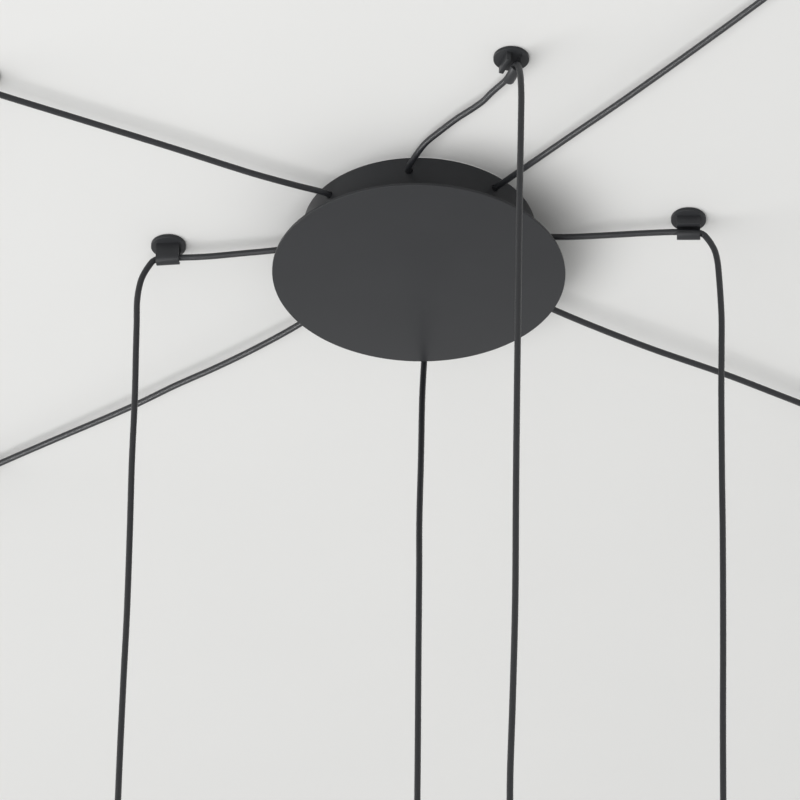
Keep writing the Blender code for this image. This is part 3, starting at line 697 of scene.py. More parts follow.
zinc = zinc_plate("zinc_plate")
post_profile = [
    (POST_RADIUS + 0.0012, -CANOPY_WALL - 0.0001),
    (POST_RADIUS + 0.0009, -CANOPY_WALL - 0.0006),
    (POST_RADIUS, -CANOPY_WALL - 0.0014),
    (POST_RADIUS, MAGNET_TOP + 0.0007),
    (POST_RADIUS - 0.0004, MAGNET_TOP + 0.0003),
]
first_post = settled(turned("magnet_post", post_profile, 48))
pot_profile = [
    (MAGNET_HOLE_RADIUS, MAGNET_TOP),
    *arc((MAGNET_RADIUS - MAGNET_EDGE, MAGNET_TOP - MAGNET_EDGE), MAGNET_EDGE, 90, 0, 3),
    (MAGNET_RADIUS, MAGNET_BOTTOM + 0.0002),
    (MAGNET_RADIUS - 0.0002, MAGNET_BOTTOM),
    (MAGNET_RADIUS - POT_WALL, MAGNET_BOTTOM),
    (MAGNET_RADIUS - POT_WALL, MAGNET_BOTTOM + POT_HOLLOW),
    (MAGNET_HOLE_RADIUS, MAGNET_BOTTOM + POT_HOLLOW),
]
first_pot = settled(turned("magnet_pot", pot_profile, 64, through=True))
core_profile = [
    (MAGNET_RADIUS - POT_WALL - 0.0001, MAGNET_BOTTOM + 0.0035),
    (MAGNET_RADIUS - POT_WALL - 0.0001, MAGNET_BOTTOM + MAGNET_INSET + 0.0002),
    (MAGNET_RADIUS - POT_WALL - 0.0003, MAGNET_BOTTOM + MAGNET_INSET),
    (MAGNET_HOLE_RADIUS * 2, MAGNET_BOTTOM + MAGNET_INSET),
    (MAGNET_HOLE_RADIUS, MAGNET_BOTTOM + MAGNET_INSET + MAGNET_HOLE_RADIUS),
    (MAGNET_HOLE_RADIUS, MAGNET_BOTTOM + 0.0035),
]
first_core = settled(turned("magnet_core", core_profile, 64, through=True))
bolt_profile = [
    (MAGNET_HOLE_RADIUS - 0.0003, MAGNET_TOP - 0.0002),
    (MAGNET_HOLE_RADIUS - 0.0003, MAGNET_BOTTOM + MAGNET_INSET + 0.0022),
    (MAGNET_SCREW_RADIUS, MAGNET_BOTTOM + MAGNET_INSET + 0.0006),
    (MAGNET_SCREW_RADIUS, MAGNET_BOTTOM + MAGNET_INSET + 0.0004),
]
first_bolt = turned("magnet_screw", bolt_profile, 40)
middle = (0, 0, MAGNET_BOTTOM)
for turn in (0, math.radians(90)):
    bpy.ops.object.select_all(action="DESELECT")
    bpy.ops.mesh.primitive_cube_add(size=1, location=middle, rotation=(0, 0, turn))
    bpy.ops.transform.resize(value=RECESS_SIZE, center_override=middle)
    combined(first_bolt, bpy.context.object, "DIFFERENCE")
settled(first_bolt)
ferrite = Finish("ferrite", FERRITE, 0.5)
ferrite.shade(ferrite.noise(900.0, 3.0), FERRITE, FERRITE_GREY)
ferrite.bumps(ferrite.noise(1800.0, 4.0), 0.3, 0.0001)
for number, azimuth in enumerate(POST_AZIMUTHS, 1):
    place = Matrix.Translation(around(azimuth, POST_CIRCLE))
    post = copied(first_post, f"magnet_post_{number}", place)
    dressed(post, coat, "fixture", "charcoal_powder_coat", "canopy_body")
    pot = copied(first_pot, f"magnet_pot_{number}", place)
    dressed(pot, zinc, "fixture", "zinc_plated_steel", f"magnet_{number}")
    core = copied(first_core, f"magnet_core_{number}", place)
    dressed(core, ferrite, "fixture", "zinc_plated_steel", f"magnet_{number}")
    bolt = copied(first_bolt, f"magnet_bolt_{number}", place @ Matrix.Rotation(number * 1.1, 4, "Z"))
    dressed(bolt, zinc, "fixture", "zinc_plated_steel", f"magnet_{number}")
put_away(first_post, first_pot, first_core, first_bolt)

# The canopy's own screws: three zinc plated, slotted pan-head screws of 4 mm, through the pan's top into
# the ceiling. Their shanks are bare here, because the ceiling and its plugs aren't part of the light.
UNDER_TOP = -CANOPY_WALL - SEAT
SCREW_HEAD_RADIUS = 0.0042
SCREW_HEAD_BOTTOM = UNDER_TOP - 0.0026
SCREW_TIP = 0.0282
SCREW_NECK = 0.0020
SCREW_CORE = 0.00145
SCREW_RIDGE = 0.00055
SCREW_PITCH = 0.0018
SCREW_TURNS = 10
THREAD_START = UNDER_TOP + 0.0058
SLOT_WIDTH = 0.0011
SLOT_DEPTH = 0.0012


def block(name, low, high):
    """A box between two corners."""
    bpy.ops.object.select_all(action="DESELECT")
    middle = [(a + b) / 2 for a, b in zip(low, high)]
    bpy.ops.mesh.primitive_cube_add(size=1, location=middle)
    piece = bpy.context.object
    piece.name = name
    bpy.ops.object.mode_set(mode="EDIT")
    bpy.ops.mesh.select_all(action="SELECT")
    size = [b - a for a, b in zip(low, high)]
    bpy.ops.transform.resize(value=size, center_override=middle)
    bpy.ops.object.mode_set(mode="OBJECT")
    return piece


def threaded(name, core, ridge, pitch, turns, start, sides, steps):
    """A ridge wound upwards round a core, from a small ring of few sides."""
    bpy.ops.object.select_all(action="DESELECT")
    bpy.ops.mesh.primitive_circle_add(
        vertices=sides,
        radius=ridge,
        fill_type="NOTHING",
        location=(core, 0, start),
        rotation=(math.radians(90), 0, 0),
    )
    piece = bpy.context.object
    piece.name = name
    bpy.ops.object.transform_apply(location=True, rotation=True, scale=True)
    winding = piece.modifiers.new("winding", "SCREW")
    winding.axis = "Z"
    winding.angle = math.tau
    winding.screw_offset = pitch
    winding.iterations = turns
    winding.steps = winding.render_steps = steps
    bpy.ops.object.modifier_apply(modifier=winding.name)
    bpy.ops.object.mode_set(mode="EDIT")
    sewn(fill=True)
    return piece


def slotted_head(piece, middle, radius, bottom, depth, width):
    """Cuts the screwdriver's slot across a head that looks down."""
    low = (middle[0] - radius * 1.2, middle[1] - width / 2, bottom - depth)
    high = (middle[0] + radius * 1.2, middle[1] + width / 2, bottom + depth)
    combined(piece, block("slot", low, high), "DIFFERENCE")


screw_profile = [
    (0.0002, SCREW_TIP),
    (SCREW_CORE, SCREW_TIP - 0.004),
    (SCREW_CORE, UNDER_TOP + 0.0045),
    (SCREW_NECK, UNDER_TOP + 0.0040),
    (SCREW_NECK, UNDER_TOP),
    (SCREW_HEAD_RADIUS - 0.0002, UNDER_TOP),
    (SCREW_HEAD_RADIUS, UNDER_TOP - 0.0002),
    (SCREW_HEAD_RADIUS, UNDER_TOP - 0.0013),
    (SCREW_HEAD_RADIUS - 0.0004, UNDER_TOP - 0.0019),
    (SCREW_HEAD_RADIUS - 0.0012, UNDER_TOP - 0.0024),
    (SCREW_HEAD_RADIUS - 0.0022, SCREW_HEAD_BOTTOM),
]
first_screw = turned("ceiling_screw", screw_profile, 46)
thread = threaded("thread", SCREW_CORE, SCREW_RIDGE, SCREW_PITCH, SCREW_TURNS, THREAD_START, 3, 30)
combined(first_screw, thread, "UNION")
slotted_head(first_screw, (0, 0), SCREW_HEAD_RADIUS, SCREW_HEAD_BOTTOM, SLOT_DEPTH, SLOT_WIDTH)
settled(first_screw)
for number, azimuth in enumerate(SCREW_AZIMUTHS, 1):
    place = Matrix.Translation(around(azimuth, SCREW_CIRCLE)) @ Matrix.Rotation(azimuth * 3, 4, "Z")
    screw = copied(first_screw, f"canopy_screw_{number}", place)
    dressed(screw, zinc, "fixture", "zinc_plated_steel", f"ceiling_screw_{number}")
put_away(first_screw)

# The grommet: a ring of soft black rubber pressed into the mains entry, so that the sheet's edge can't cut
# the cable. Its flange is under the pan's top, and its neck fills the hole.
GROMMET_NECK = 0.0107
GROMMET_FLANGE = 0.014
GROMMET_BORE = 0.006
GROMMET_BOTTOM = UNDER_TOP - 0.002
FLANGE_EDGE = 0.0009
BORE_EDGE = 0.0007
RUBBER_DARK = (0.012, 0.012, 0.012)
RUBBER_GREY = (0.024, 0.024, 0.025)

rubber = Finish("grommet_rubber", RUBBER_GREY, 0.75)
rubber.shade(rubber.noise(500.0, 3.0), RUBBER_DARK, RUBBER_GREY)
rubber.bumps(rubber.noise(1500.0, 3.0), 0.2, 0.0001)
grommet_profile = [
    (GROMMET_BORE + 0.0005, -SEAT),
    (GROMMET_NECK - 0.0003, -SEAT),
    (GROMMET_NECK, -SEAT - 0.0003),
    (GROMMET_NECK, UNDER_TOP),
    (GROMMET_FLANGE - 0.0003, UNDER_TOP),
    *arc((GROMMET_FLANGE - FLANGE_EDGE, GROMMET_BOTTOM + FLANGE_EDGE), FLANGE_EDGE, 30, -90, 5),
    *arc((GROMMET_BORE + BORE_EDGE, GROMMET_BOTTOM + BORE_EDGE), BORE_EDGE, -90, -180, 4),
    (GROMMET_BORE, -SEAT - 0.0005),
]
grommet = settled(turned("entry_ring", grommet_profile, 72, ENTRY_PLACE, through=True))
dressed(grommet, rubber, "fixture", "grommet_rubber", "entry_grommet")

# The cord clamps: a black nylon saddle over each cord just inside the wall, held up under the pan by two
# screws, so that the weight of the lampholder never reaches the terminals.
CLAMP_INNER = 0.1014
CLAMP_HALF = 0.00775
CLAMP_FOOT = 0.01315
CLAMP_FOOT_THICKNESS = 0.003
CLAMP_BORE = CORD_RADIUS + 0.0002
CLAMP_EDGE = 0.0005
CLAMP_SCREW_ASIDE = 0.0106
CLAMP_HEAD_RADIUS = 0.0019
CLAMP_HEAD_HEIGHT = 0.0014
CLAMP_MIDDLE = -(CLAMP_OUTER + CLAMP_INNER) / 2
SADDLE_STEPS = 9
SADDLE_NARROWEST = 0.05
NYLON_DARK = (0.014, 0.014, 0.015)
NYLON_GREY = (0.028, 0.028, 0.030)


def moulded(name, dark, light, roughness):
    """Moulded plastic with a spark-eroded grain and a faint flow."""
    finish = Finish(name, light, roughness)
    grain = finish.noise(2200.0, 2.0)
    flow = finish.noise(40.0, 2.0)
    finish.shade(flow * 0.6 + grain * 0.4, dark, light)
    finish.bumps(grain, 0.18, 0.00008)
    return finish.rough(roughness - 0.05 + flow * 0.1)


def pick_faces(piece, wanted):
    """In edit mode, leaves the faces selected that pass the test."""
    bpy.ops.mesh.select_mode(type="FACE")
    bpy.ops.mesh.select_all(action="DESELECT")
    mesh = bmesh.from_edit_mesh(piece.data)
    for face in mesh.faces:
        face.select_set(wanted(face))
    bmesh.update_edit_mesh(piece.data)


def looks_down(face):
    return face.normal.z < -0.9


nylon = moulded("black_nylon", NYLON_DARK, NYLON_GREY, 0.5)
foot_bottom = UNDER_TOP - CLAMP_FOOT_THICKNESS
foot_low = (-CLAMP_FOOT, -CLAMP_OUTER, foot_bottom)
saddle_low = (-CLAMP_HALF, -CLAMP_OUTER, CORD_LEVEL)
first_clamp = block("clamp", foot_low, (CLAMP_FOOT, -CLAMP_INNER, UNDER_TOP))
saddle = block("saddle", saddle_low, (CLAMP_HALF, -CLAMP_INNER, UNDER_TOP))
bpy.ops.object.mode_set(mode="EDIT")
pick_faces(saddle, looks_down)
turns = [math.radians(90 / SADDLE_STEPS * i) for i in range(SADDLE_STEPS + 1)]
for before, turn in zip(turns, turns[1:]):
    drop = CLAMP_HALF * (math.sin(turn) - math.sin(before))
    bpy.ops.mesh.extrude_region_move(TRANSFORM_OT_translate={"value": (0, 0, -drop)})
    narrow = max(math.cos(turn), SADDLE_NARROWEST) / max(math.cos(before), SADDLE_NARROWEST)
    bpy.ops.transform.resize(value=(narrow, 1, 1), center_override=(0, 0, 0))
bpy.ops.object.mode_set(mode="OBJECT")
combined(first_clamp, saddle, "UNION")
drilled(first_clamp, (0, CLAMP_MIDDLE, CORD_LEVEL), (0, 1, 0), CLAMP_BORE, 0.03, 40)
edged(first_clamp, CLAMP_EDGE, 2)
settled(first_clamp)
head_bottom = foot_bottom - CLAMP_HEAD_HEIGHT
head_profile = [
    (CLAMP_HEAD_RADIUS, foot_bottom - 0.0001),
    (CLAMP_HEAD_RADIUS, foot_bottom - 0.0008),
    (CLAMP_HEAD_RADIUS - 0.0004, foot_bottom - 0.0012),
    (CLAMP_HEAD_RADIUS - 0.0009, head_bottom),
]
first_head = turned("clamp_screw", head_profile, 32)
slotted_head(first_head, (0, 0), CLAMP_HEAD_RADIUS, head_bottom, 0.0007, 0.0006)
settled(first_head)
for number in range(1, CORD_COUNT + 1):
    turn = Matrix.Rotation(azimuth_of(number), 4, "Z")
    clamp = copied(first_clamp, f"cord_saddle_{number}", turn)
    dressed(clamp, nylon, "fixture", "black_nylon", f"cord_clamp_{number}")
    for side, across in (("left", -CLAMP_SCREW_ASIDE), ("right", CLAMP_SCREW_ASIDE)):
        place = turn @ Matrix.Translation((across, CLAMP_MIDDLE, 0))
        place = place @ Matrix.Rotation(number, 4, "Z")
        head = copied(first_head, f"saddle_screw_{number}_{side}", place)
        dressed(head, zinc, "fixture", "zinc_plated_steel", f"cord_clamp_{number}")
put_away(first_clamp, first_head)

# The terminal strips: off-white plastic, nine poles each, for live, neutral and earth. Each pole has a
# metal tube for the conductors, and two screws in towers that look down into the room once the disc is off.
POLE_COUNT = 9
POLE_PITCH = 0.008
POLE_HALF = 0.0036
STRIP_HALF = 0.0075
STRIP_SPACING = 0.020
STRIP_BOTTOM = -0.0178
POLE_BOTTOM = -0.0128
TOWER_ASIDE = 0.0038
TOWER_RADIUS = 0.0031
TOWER_BORE = 0.0021
WIRE_LEVEL = -0.0098
WIRE_HOLE = 0.0017
TUBE_OUTER = WIRE_HOLE - 0.00002
TUBE_INNER = WIRE_HOLE - 0.0003
TUBE_HALF = 0.0062
SET_SCREW_BOTTOM = STRIP_BOTTOM + 0.0022
SET_SCREW_RADIUS = 0.0019
SET_SCREW_CORE = 0.0012
RAIL_HALF = 0.0045
RAIL_BOTTOM = -0.0062
PALE_PLASTIC = (0.74, 0.73, 0.69)
PALE_SHADED = (0.66, 0.65, 0.60)
STRIPS = {"live": -STRIP_SPACING, "neutral": 0.0, "earth": STRIP_SPACING}

pale_plastic = moulded("pale_plastic", PALE_SHADED, PALE_PLASTIC, 0.45)
first_pole = block("pole", (-POLE_HALF, -STRIP_HALF, POLE_BOTTOM), (POLE_HALF, STRIP_HALF, UNDER_TOP))
edged(first_pole, 0.0004, 2)
tower_profile = [
    (TOWER_RADIUS, POLE_BOTTOM + 0.001),
    (TOWER_RADIUS, STRIP_BOTTOM + 0.0004),
    (TOWER_RADIUS - 0.0003, STRIP_BOTTOM),
]
for aside in (-TOWER_ASIDE, TOWER_ASIDE):
    combined(first_pole, turned("tower", tower_profile, 40, (0, aside)), "UNION")
    drilled(first_pole, (0, aside, STRIP_BOTTOM), (0, 0, 1), TOWER_BORE, 0.0108, 32)
drilled(first_pole, (0, 0, WIRE_LEVEL), (0, 1, 0), WIRE_HOLE, STRIP_HALF * 3, 32)
settled(first_pole)
tube_profile = [
    (TUBE_OUTER, -TUBE_HALF),
    (TUBE_OUTER, TUBE_HALF),
    (TUBE_INNER, TUBE_HALF),
    (TUBE_INNER, -TUBE_HALF),
]
first_tube = turned("tube", tube_profile, 32, through=True)
settled(first_tube, Matrix.Translation((0, 0, WIRE_LEVEL)) @ Matrix.Rotation(math.radians(90), 4, "X"))
set_profile = [
    (SET_SCREW_CORE, WIRE_LEVEL),
    (SET_SCREW_CORE, SET_SCREW_BOTTOM + 0.0020),
    (SET_SCREW_RADIUS, SET_SCREW_BOTTOM + 0.0018),
    (SET_SCREW_RADIUS, SET_SCREW_BOTTOM + 0.0003),
    (SET_SCREW_RADIUS - 0.0003, SET_SCREW_BOTTOM),
]
first_set = turned("set_screw", set_profile, 32)
slotted_head(first_set, (0, 0), SET_SCREW_RADIUS, SET_SCREW_BOTTOM, 0.0008, 0.0006)
settled(first_set)


def joined(name, pieces):
    """Makes one piece of several."""
    bpy.ops.object.select_all(action="DESELECT")
    for piece in pieces:
        piece.select_set(True)
    bpy.context.view_layer.objects.active = pieces[0]
    bpy.ops.object.join()
    pieces[0].name = name
    return pieces[0]


poles, metal = [], []
for i in range(POLE_COUNT):
    across = (i - (POLE_COUNT - 1) / 2) * POLE_PITCH
    poles.append(copied(first_pole, "pole", Matrix.Translation((across, 0, 0))))
    metal.append(copied(first_tube, "tube", Matrix.Translation((across, 0, 0))))
    for j, aside in enumerate((-TOWER_ASIDE, TOWER_ASIDE)):
        turn = Matrix.Rotation(1.7 * i + 0.9 * j, 4, "Z")
        metal.append(copied(first_set, "set", Matrix.Translation((across, aside, 0)) @ turn))
first_strip = joined("strip", poles)
rail_end = (POLE_COUNT - 1) / 2 * POLE_PITCH
rail = block("rail", (-rail_end, -RAIL_HALF, RAIL_BOTTOM), (rail_end, RAIL_HALF, UNDER_TOP - 0.0004))
combined(first_strip, rail, "UNION")
settled(first_strip)
first_metal = joined("strip_metal", metal)
for name, row in STRIPS.items():
    place = Matrix.Translation((0, row, 0))
    strip = copied(first_strip, f"{name}_strip", place)
    dressed(strip, pale_plastic, "fixture", "terminal_plastic", f"{name}_terminals")
    screws = copied(first_metal, f"{name}_strip_screws", place)
    dressed(screws, zinc, "fixture", "zinc_plated_steel", f"{name}_terminals")
put_away(first_pole, first_tube, first_set, first_strip, first_metal)

# The tails: inside the canopy each cord passes its clamp, and its sheath ends in a shrunk sleeve. Its
# brown, blue, and green and yellow conductors part there, and go on to the live, neutral and earth strips.
TAIL_START = CLAMP_OUTER + SEAT
TAIL_END = 0.0790
TAIL_SAG = 0.0008
TAIL_RADII = (TAIL_START, CLAMP_INNER, 0.0930, TAIL_END)
TAIL_SAGS = (0.0, 0.0, TAIL_SAG, TAIL_SAG)
SLEEVE_LENGTH = 0.009
SLEEVE_NOSE = 0.0015
SLEEVE_RADIUS = CORD_RADIUS + 0.00035
CORE_RADIUS = 0.0010
CORE_TURN = math.tau * CORE_RADIUS
CORE_SIDES = 12
CORE_STEP = 0.0015
CORE_APART = 0.0013
CORE_UNDER = -0.0208
TAIL_POLES = {1: -3, 2: 0, 3: 3, 4: 4, 5: 2, 6: -1, 7: -2, 8: -4}
TAIL_SIDES = {1: -1, 2: -1, 3: -1, 4: -1, 5: 1, 6: 1, 7: 1, 8: 1}
BROWN = (0.110, 0.040, 0.018)
BLUE = (0.020, 0.090, 0.380)
GREEN = (0.020, 0.200, 0.050)
YELLOW = (0.720, 0.560, 0.030)


def insulation(name, colour):
    finish = Finish(name, colour, 0.38)
    cloud = finish.noise(300.0, 2.0)
    finish.shade(cloud, [part * 0.75 for part in colour], colour)
    return finish.rough(0.32 + cloud * 0.12)


brown = insulation("brown_insulation", BROWN)
blue = insulation("blue_insulation", BLUE)
striped = Finish("striped_insulation", YELLOW, 0.38)
round_core = striped.node("SeparateXYZ", {}, {"Vector": striped.node("TexCoord", {}, {}, "UV")}, "X")
stripe = (round_core / CORE_TURN).math("PINGPONG", 0.5).math("GREATER_THAN", 0.30)
striped.shade(stripe, GREEN, YELLOW)
striped.rough(0.34 + striped.noise(300.0, 2.0) * 0.1)
sleeve_black = moulded("sleeve_black", NYLON_DARK, NYLON_GREY, 0.42)
cores = {"live": brown, "neutral": blue, "earth": striped}


def core_route(number, strip, start, inwards):
    """A conductor's way from the sleeve to its pole: straight in, or under the strips before it."""
    side = TAIL_SIDES[number]
    row = STRIPS[strip]
    shift = {"live": 0.0, "neutral": -CORE_APART, "earth": CORE_APART}[strip]
    across = TAIL_POLES[number] * POLE_PITCH
    turn = math.tau * list(STRIPS).index(strip) / 3 + 0.5
    beside = Vector((-inwards.y, inwards.x, 0)) * math.cos(turn) + Vector((0, 0, 1)) * math.sin(turn)
    route = [start - inwards * 0.004 + beside * 0.0011, start + beside * 0.0012]
    route.append(start + inwards * 0.008 + beside * 0.0020)
    if abs(row - side * STRIP_SPACING) < 0.001:
        route.append(Vector((across + shift, side * 0.0370, -0.0125)))
    else:
        route.append(Vector((across + shift, side * 0.0400, -0.0200)))
        route.append(Vector((across + shift, side * 0.0300, CORE_UNDER)))
        route.append(Vector((across + shift, row + side * 0.0150, CORE_UNDER)))
        route.append(Vector((across + shift * 0.6, row + side * 0.0112, -0.0180)))
    route.append(Vector((across, row + side * 0.0096, -0.0118)))
    route.append(Vector((across, row + side * 0.0062, WIRE_LEVEL)))
    return route


sleeve_profile = [
    (SLEEVE_RADIUS - 0.0003, 0.0),
    (SLEEVE_RADIUS, 0.0003),
    (SLEEVE_RADIUS, SLEEVE_LENGTH),
    (SLEEVE_RADIUS - 0.0005, SLEEVE_LENGTH + 0.0008),
    (SLEEVE_RADIUS - 0.0013, SLEEVE_LENGTH + SLEEVE_NOSE),
]
for number in range(1, CORD_COUNT + 1):
    azimuth = azimuth_of(number)
    route = [around(azimuth, radius, CORD_LEVEL - sag) for radius, sag in zip(TAIL_RADII, TAIL_SAGS)]
    line = smooth_line(route, CORD_STEP)
    tail = tube(f"tail_sheath_{number}", line, CORD_RADIUS, CORD_SIDES)
    dressed(tail, sheath, "fixture", "cord_sheath", f"cord_tail_{number}")
    inwards = -around(azimuth, 1)
    ends = [line[-1] - inwards * SLEEVE_LENGTH, line[-1] + inwards * SLEEVE_NOSE]
    sleeve = turned(f"tail_sleeve_{number}", sleeve_profile, 32)
    settled(sleeve, Matrix.Translation(ends[0]) @ inwards.to_track_quat("Z", "Y").to_matrix().to_4x4())
    dressed(sleeve, sleeve_black, "fixture", "cord_sheath", f"cord_tail_{number}")
    for strip, finish in cores.items():
        core_line = smooth_line(core_route(number, strip, ends[1], inwards), CORE_STEP)
        core = tube(f"{strip}_core_{number}", core_line, CORE_RADIUS, CORE_SIDES)
        dressed(core, finish, "fixture", "cord_sheath", f"cord_tail_{number}")

# The ceiling hooks: seven die castings, each a round plate with a block on one side, and on the other a
# web that curls under as the cord's trough. A stud from the ceiling goes into the plate. They are powder
# coated like the canopy.
PLATE_RADIUS = 0.018
PLATE_THICKNESS = 0.004
PLATE_EDGE = 0.0005
HOOK_LENGTH = 0.024
BLOCK_LEFT = -0.0090
BLOCK_RIGHT = -0.0042
BLOCK_BOTTOM = -0.0145
TROUGH_MIDDLE = (0.0013, -0.0193)
TROUGH_INNER = 0.0041
TROUGH_OUTER = 0.0066
LIP_TURN = math.radians(156)
LIP_STEPS = 26
STUD_HOLE_RADIUS = 0.0021
STUD_HOLE_DEPTH = 0.003
INSIDE_PLATE = -0.002

half = HOOK_LENGTH / 2
web_left = TROUGH_MIDDLE[0] + TROUGH_INNER
web_right = TROUGH_MIDDLE[0] + TROUGH_OUTER
plate_profile = [
    (PLATE_RADIUS - 0.0003, 0.0),
    (PLATE_RADIUS, -0.0003),
    *arc((PLATE_RADIUS - PLATE_EDGE, PLATE_EDGE - PLATE_THICKNESS), PLATE_EDGE, 0, -90, 4),
]
first_hook = turned("hook", plate_profile, 96)
hook_block = block("hook_block", (-half, BLOCK_LEFT, BLOCK_BOTTOM), (half, BLOCK_RIGHT, INSIDE_PLATE))
edged(hook_block, 0.0006, 3)
hook_web = block("hook_web", (-half, web_left, TROUGH_MIDDLE[1]), (half, web_right, INSIDE_PLATE))
bpy.ops.object.mode_set(mode="EDIT")
pick_faces(hook_web, looks_down)
bpy.ops.mesh.spin(steps=LIP_STEPS, angle=LIP_TURN, center=(0, *TROUGH_MIDDLE), axis=(1, 0, 0))
sewn()
edged(hook_web, PLATE_EDGE, 3)
combined(first_hook, hook_block, "UNION")
combined(first_hook, hook_web, "UNION")
drilled(first_hook, (0, 0, 0), (0, 0, 1), STUD_HOLE_RADIUS, STUD_HOLE_DEPTH * 2)
settled(first_hook)
for number, (reach, azimuth, heading) in HOOKS.items():
    place = Matrix.Translation(around(azimuth, reach)) @ Matrix.Rotation(heading, 4, "Z")
    hook = copied(first_hook, f"cast_hook_{number}", place)
    dressed(hook, coat, "fixture", "charcoal_powder_coat", f"hook_{number}")
put_away(first_hook)

# The ceiling: smooth white plaster, as stage only. It is there from below, fades out far off, stops no
# light, and is left out where the canopy and the plates lie on it, so that their tops aren't black in a
# view from above.
CEILING_SIZE = 14.0
CEILING_LIFT = 0.0004
FADE_START = 1.5
FADE_LENGTH = 2.5
BEHIND_CANOPY = 0.1185
BEHIND_PLATE = 0.0172
PLASTER = (0.80, 0.80, 0.79)
PLASTER_SHADED = (0.775, 0.775, 0.765)

bpy.ops.object.select_all(action="DESELECT")
bpy.ops.mesh.primitive_plane_add(size=CEILING_SIZE, location=(0, 0, CEILING_LIFT))
ceiling = bpy.context.object
ceiling.name = "ceiling"
ceiling.visible_shadow = False
ceiling.visible_diffuse = False
plaster = Finish("ceiling_plaster", PLASTER, 0.9)
plaster.shade(plaster.noise(3.0, 4.0), PLASTER_SHADED, PLASTER)
plaster.bumps(plaster.noise(160.0, 4.0), 0.15, 0.0004)
on_ceiling = plaster.node("TexCoord", {}, {}, "Object")
away = plaster.node("VectorMath", {"operation": "LENGTH"}, {"Vector": on_ceiling}, "Value")
fade = ((away - FADE_START) / FADE_LENGTH).math("SMOOTH_MIN", 1.0, 0.3).math("MAXIMUM", 0.0)
backdrop = plaster.node("Emission", {}, {"Color": (*BACKDROP_COLOUR, 1), "Strength": BACKDROP_GLOW})
shown = plaster.node("NewGeometry", {}, {}, "Backfacing") * away.math("GREATER_THAN", BEHIND_CANOPY)
for reach, azimuth, _ in HOOKS.values():
    apart = plaster.node("VectorMath", {"operation": "DISTANCE"}, {"Vector": on_ceiling}, "Value")
    apart.socket.node.inputs[1].default_value = around(azimuth, reach)
    shown = shown * apart.math("GREATER_THAN", BEHIND_PLATE)
nothing = plaster.node("BsdfTransparent", {}, {})
faded = plaster.blend(fade * looking(plaster.tree), Signal(plaster.shader.outputs[0]), backdrop)
surface = plaster.blend(shown, nothing, faded)
plaster.tree.links.new(surface.socket, plaster.output.inputs["Surface"])
ceiling.data.materials.append(plaster.material)

# The lampholders: a black moulded cap screwed onto a ribbed holder, with a grip nut where the cord comes
# in, and a threaded brass shell and a spring contact inside. One hangs on each cord, without a lamp.
CAP_TOP = LAMP_LEVEL - SEAT
CAP_BOTTOM = -0.9603
CAP_RADIUS = 0.019
CAP_SKIRT = 0.004
NECK_RADIUS = 0.0065
NECK_HEIGHT = 0.010
HOLDER_TOP = -0.9606
HOLDER_BOTTOM = -1.0056
HOLDER_RIM_RADIUS = 0.021
SOCKET_RADIUS = 0.0137
SOCKET_DEPTH = 0.030
SOCKET_PITCH = 0.00362
SOCKET_FLOOR = HOLDER_BOTTOM + SOCKET_DEPTH
SHELL_OUTER = SOCKET_RADIUS - 0.0001
SHELL_INNER = SOCKET_RADIUS - 0.0007
SHELL_HOLE = SOCKET_RADIUS - 0.0045
SHELL_BOTTOM = HOLDER_BOTTOM + 0.0015
RIB_COUNT = 24
RIB_HEIGHT = 0.0004
RIB_END = HOLDER_BOTTOM + 0.0075
GROOVE_DEPTH = 0.0006
DOME_STEPS = 12
HOLDER_BLACK = (0.016, 0.016, 0.017)
HOLDER_GREY = (0.030, 0.030, 0.032)
BRASS = (0.68, 0.47, 0.20)
BRASS_DULL = (0.46, 0.31, 0.13)

holder_plastic = moulded("holder_plastic", HOLDER_BLACK, HOLDER_GREY, 0.42)
brass = Finish("brass", BRASS, 0.3, Metallic=1.0)
brass.shade(brass.noise(220.0, 3.0), BRASS_DULL, BRASS)
brass.rough(0.24 + brass.noise(400.0, 3.0) * 0.2)

shoulder = CAP_BOTTOM + CAP_SKIRT
neck_bottom = CAP_TOP - NECK_HEIGHT
turns = [math.radians(90 / DOME_STEPS * i) for i in range(DOME_STEPS + 1)]
dome = [
    (
        NECK_RADIUS + (CAP_RADIUS - NECK_RADIUS) * math.sin(turn),
        shoulder + (neck_bottom - shoulder) * math.cos(turn),
    )
    for turn in turns
]
cap_profile = [
    (NECK_RADIUS - 0.0006, neck_bottom + 0.0002),
    *dome,
    (CAP_RADIUS, CAP_BOTTOM + 0.0012),
    (CAP_RADIUS - 0.0004, CAP_BOTTOM + 0.0008),
    (CAP_RADIUS - 0.0004, CAP_BOTTOM),
]
first_cap = settled(turned("cap", cap_profile, 96))
holder_profile = [
    (CAP_RADIUS - 0.0004, HOLDER_TOP),
    (CAP_RADIUS, HOLDER_TOP - 0.0004),
    (CAP_RADIUS, RIB_END),
    (CAP_RADIUS - GROOVE_DEPTH, HOLDER_BOTTOM + 0.0069),
    (CAP_RADIUS - GROOVE_DEPTH, HOLDER_BOTTOM + 0.0052),
    (CAP_RADIUS, HOLDER_BOTTOM + 0.0046),
    (HOLDER_RIM_RADIUS - 0.0004, HOLDER_BOTTOM + 0.0026),
    (HOLDER_RIM_RADIUS, HOLDER_BOTTOM + 0.0020),
    *arc((HOLDER_RIM_RADIUS - 0.001, HOLDER_BOTTOM + 0.001), 0.001, 0, -90, 4),
    (SOCKET_RADIUS + 0.0008, HOLDER_BOTTOM),
    (SOCKET_RADIUS, HOLDER_BOTTOM + 0.0008),
    (SOCKET_RADIUS, SOCKET_FLOOR),
]


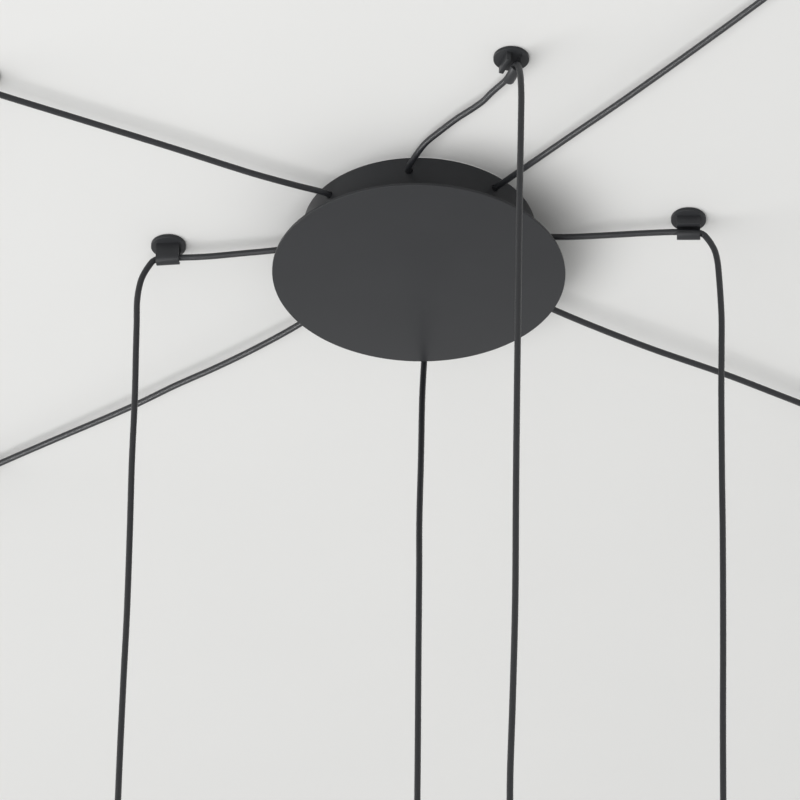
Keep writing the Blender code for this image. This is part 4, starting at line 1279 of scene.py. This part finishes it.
def on_rib(face):
    """Every other strip of the holder's side, above its groove."""
    middle = face.calc_center_median()
    on_side = abs(face.normal.z) < 0.1 and abs(Vector(middle.xy).length - CAP_RADIUS) < 0.0001
    turn = math.degrees(math.atan2(middle.y, middle.x)) % (360 / RIB_COUNT)
    return on_side and middle.z > RIB_END and turn < 180 / RIB_COUNT


first_holder = turned("holder", holder_profile, 96)
bpy.ops.object.mode_set(mode="EDIT")
pick_faces(first_holder, on_rib)
bpy.ops.mesh.inset(thickness=0.0003, depth=0, use_even_offset=True)
bpy.ops.transform.shrink_fatten(value=RIB_HEIGHT)
bpy.ops.object.mode_set(mode="OBJECT")
settled(first_holder)
shell_profile = [
    (SHELL_OUTER, SHELL_BOTTOM),
    (SHELL_OUTER, SOCKET_FLOOR - 0.0005),
    (SHELL_HOLE, SOCKET_FLOOR - 0.0005),
    (SHELL_HOLE, SOCKET_FLOOR - 0.0010),
    (SHELL_INNER, SOCKET_FLOOR - 0.0010),
    (SHELL_INNER, SHELL_BOTTOM),
]
first_shell = turned("shell", shell_profile, 72, through=True)
ridge = threaded("ridge", SHELL_INNER, 0.0008, SOCKET_PITCH, 6, HOLDER_BOTTOM + 0.0030, 12, 48)
combined(first_shell, ridge, "UNION")
settled(first_shell)
contact_profile = [
    (0.0052, SOCKET_FLOOR - 0.0001),
    (0.0052, SOCKET_FLOOR - 0.0016),
    (0.0048, SOCKET_FLOOR - 0.0020),
    (0.0034, SOCKET_FLOOR - 0.0020),
    (0.0032, SOCKET_FLOOR - 0.0034),
    (0.0022, SOCKET_FLOOR - 0.0044),
    (0.0010, SOCKET_FLOOR - 0.0047),
]
first_contact = settled(turned("contact", contact_profile, 48))
nut_profile = [
    (CORD_RADIUS + 0.0003, CAP_TOP + 0.006),
    (CORD_RADIUS + 0.0014, CAP_TOP + 0.006),
    (CORD_RADIUS + 0.0022, CAP_TOP + 0.0045),
    (NECK_RADIUS - 0.0008, CAP_TOP),
    (NECK_RADIUS, CAP_TOP - 0.0008),
    (NECK_RADIUS, neck_bottom + 0.0006),
    (NECK_RADIUS - 0.0005, neck_bottom + 0.0002),
    (CORD_RADIUS + 0.0003, neck_bottom + 0.0002),
]
first_nut = settled(turned("grip", nut_profile, 64, through=True))
on_cord = {}
lampholder = {
    "grip_nut": (first_nut, holder_plastic, "lampholder_plastic", "lampholder_cap"),
    "holder_cap": (first_cap, holder_plastic, "lampholder_plastic", "lampholder_cap"),
    "holder_body": (first_holder, holder_plastic, "lampholder_plastic", "lampholder_body"),
    "socket_shell": (first_shell, brass, "zinc_plated_steel", "lampholder_body"),
    "socket_contact": (first_contact, brass, "zinc_plated_steel", "lampholder_body"),
}
for number, line in cord_lines.items():
    place = Matrix.Translation((line[-1].x, line[-1].y, 0))
    on_cord[number] = []
    for name, (pattern, finish, slot, node) in lampholder.items():
        piece = copied(pattern, f"{name}_{number}", place)
        dressed(piece, finish, "fixture", slot, f"{node}_{number}")
        on_cord[number].append(piece)
put_away(first_cap, first_holder, first_nut, first_shell, first_contact)

# The cords: each is a free cord that leaves its clamp and follows its own line, kept straight by the
# lampholder on its end. Here only the length of each along its line is summed.
for number, cord in cords.items():
    line = cord_lines[number]
    sum((b - a).length for a, b in zip(line, line[1:]))
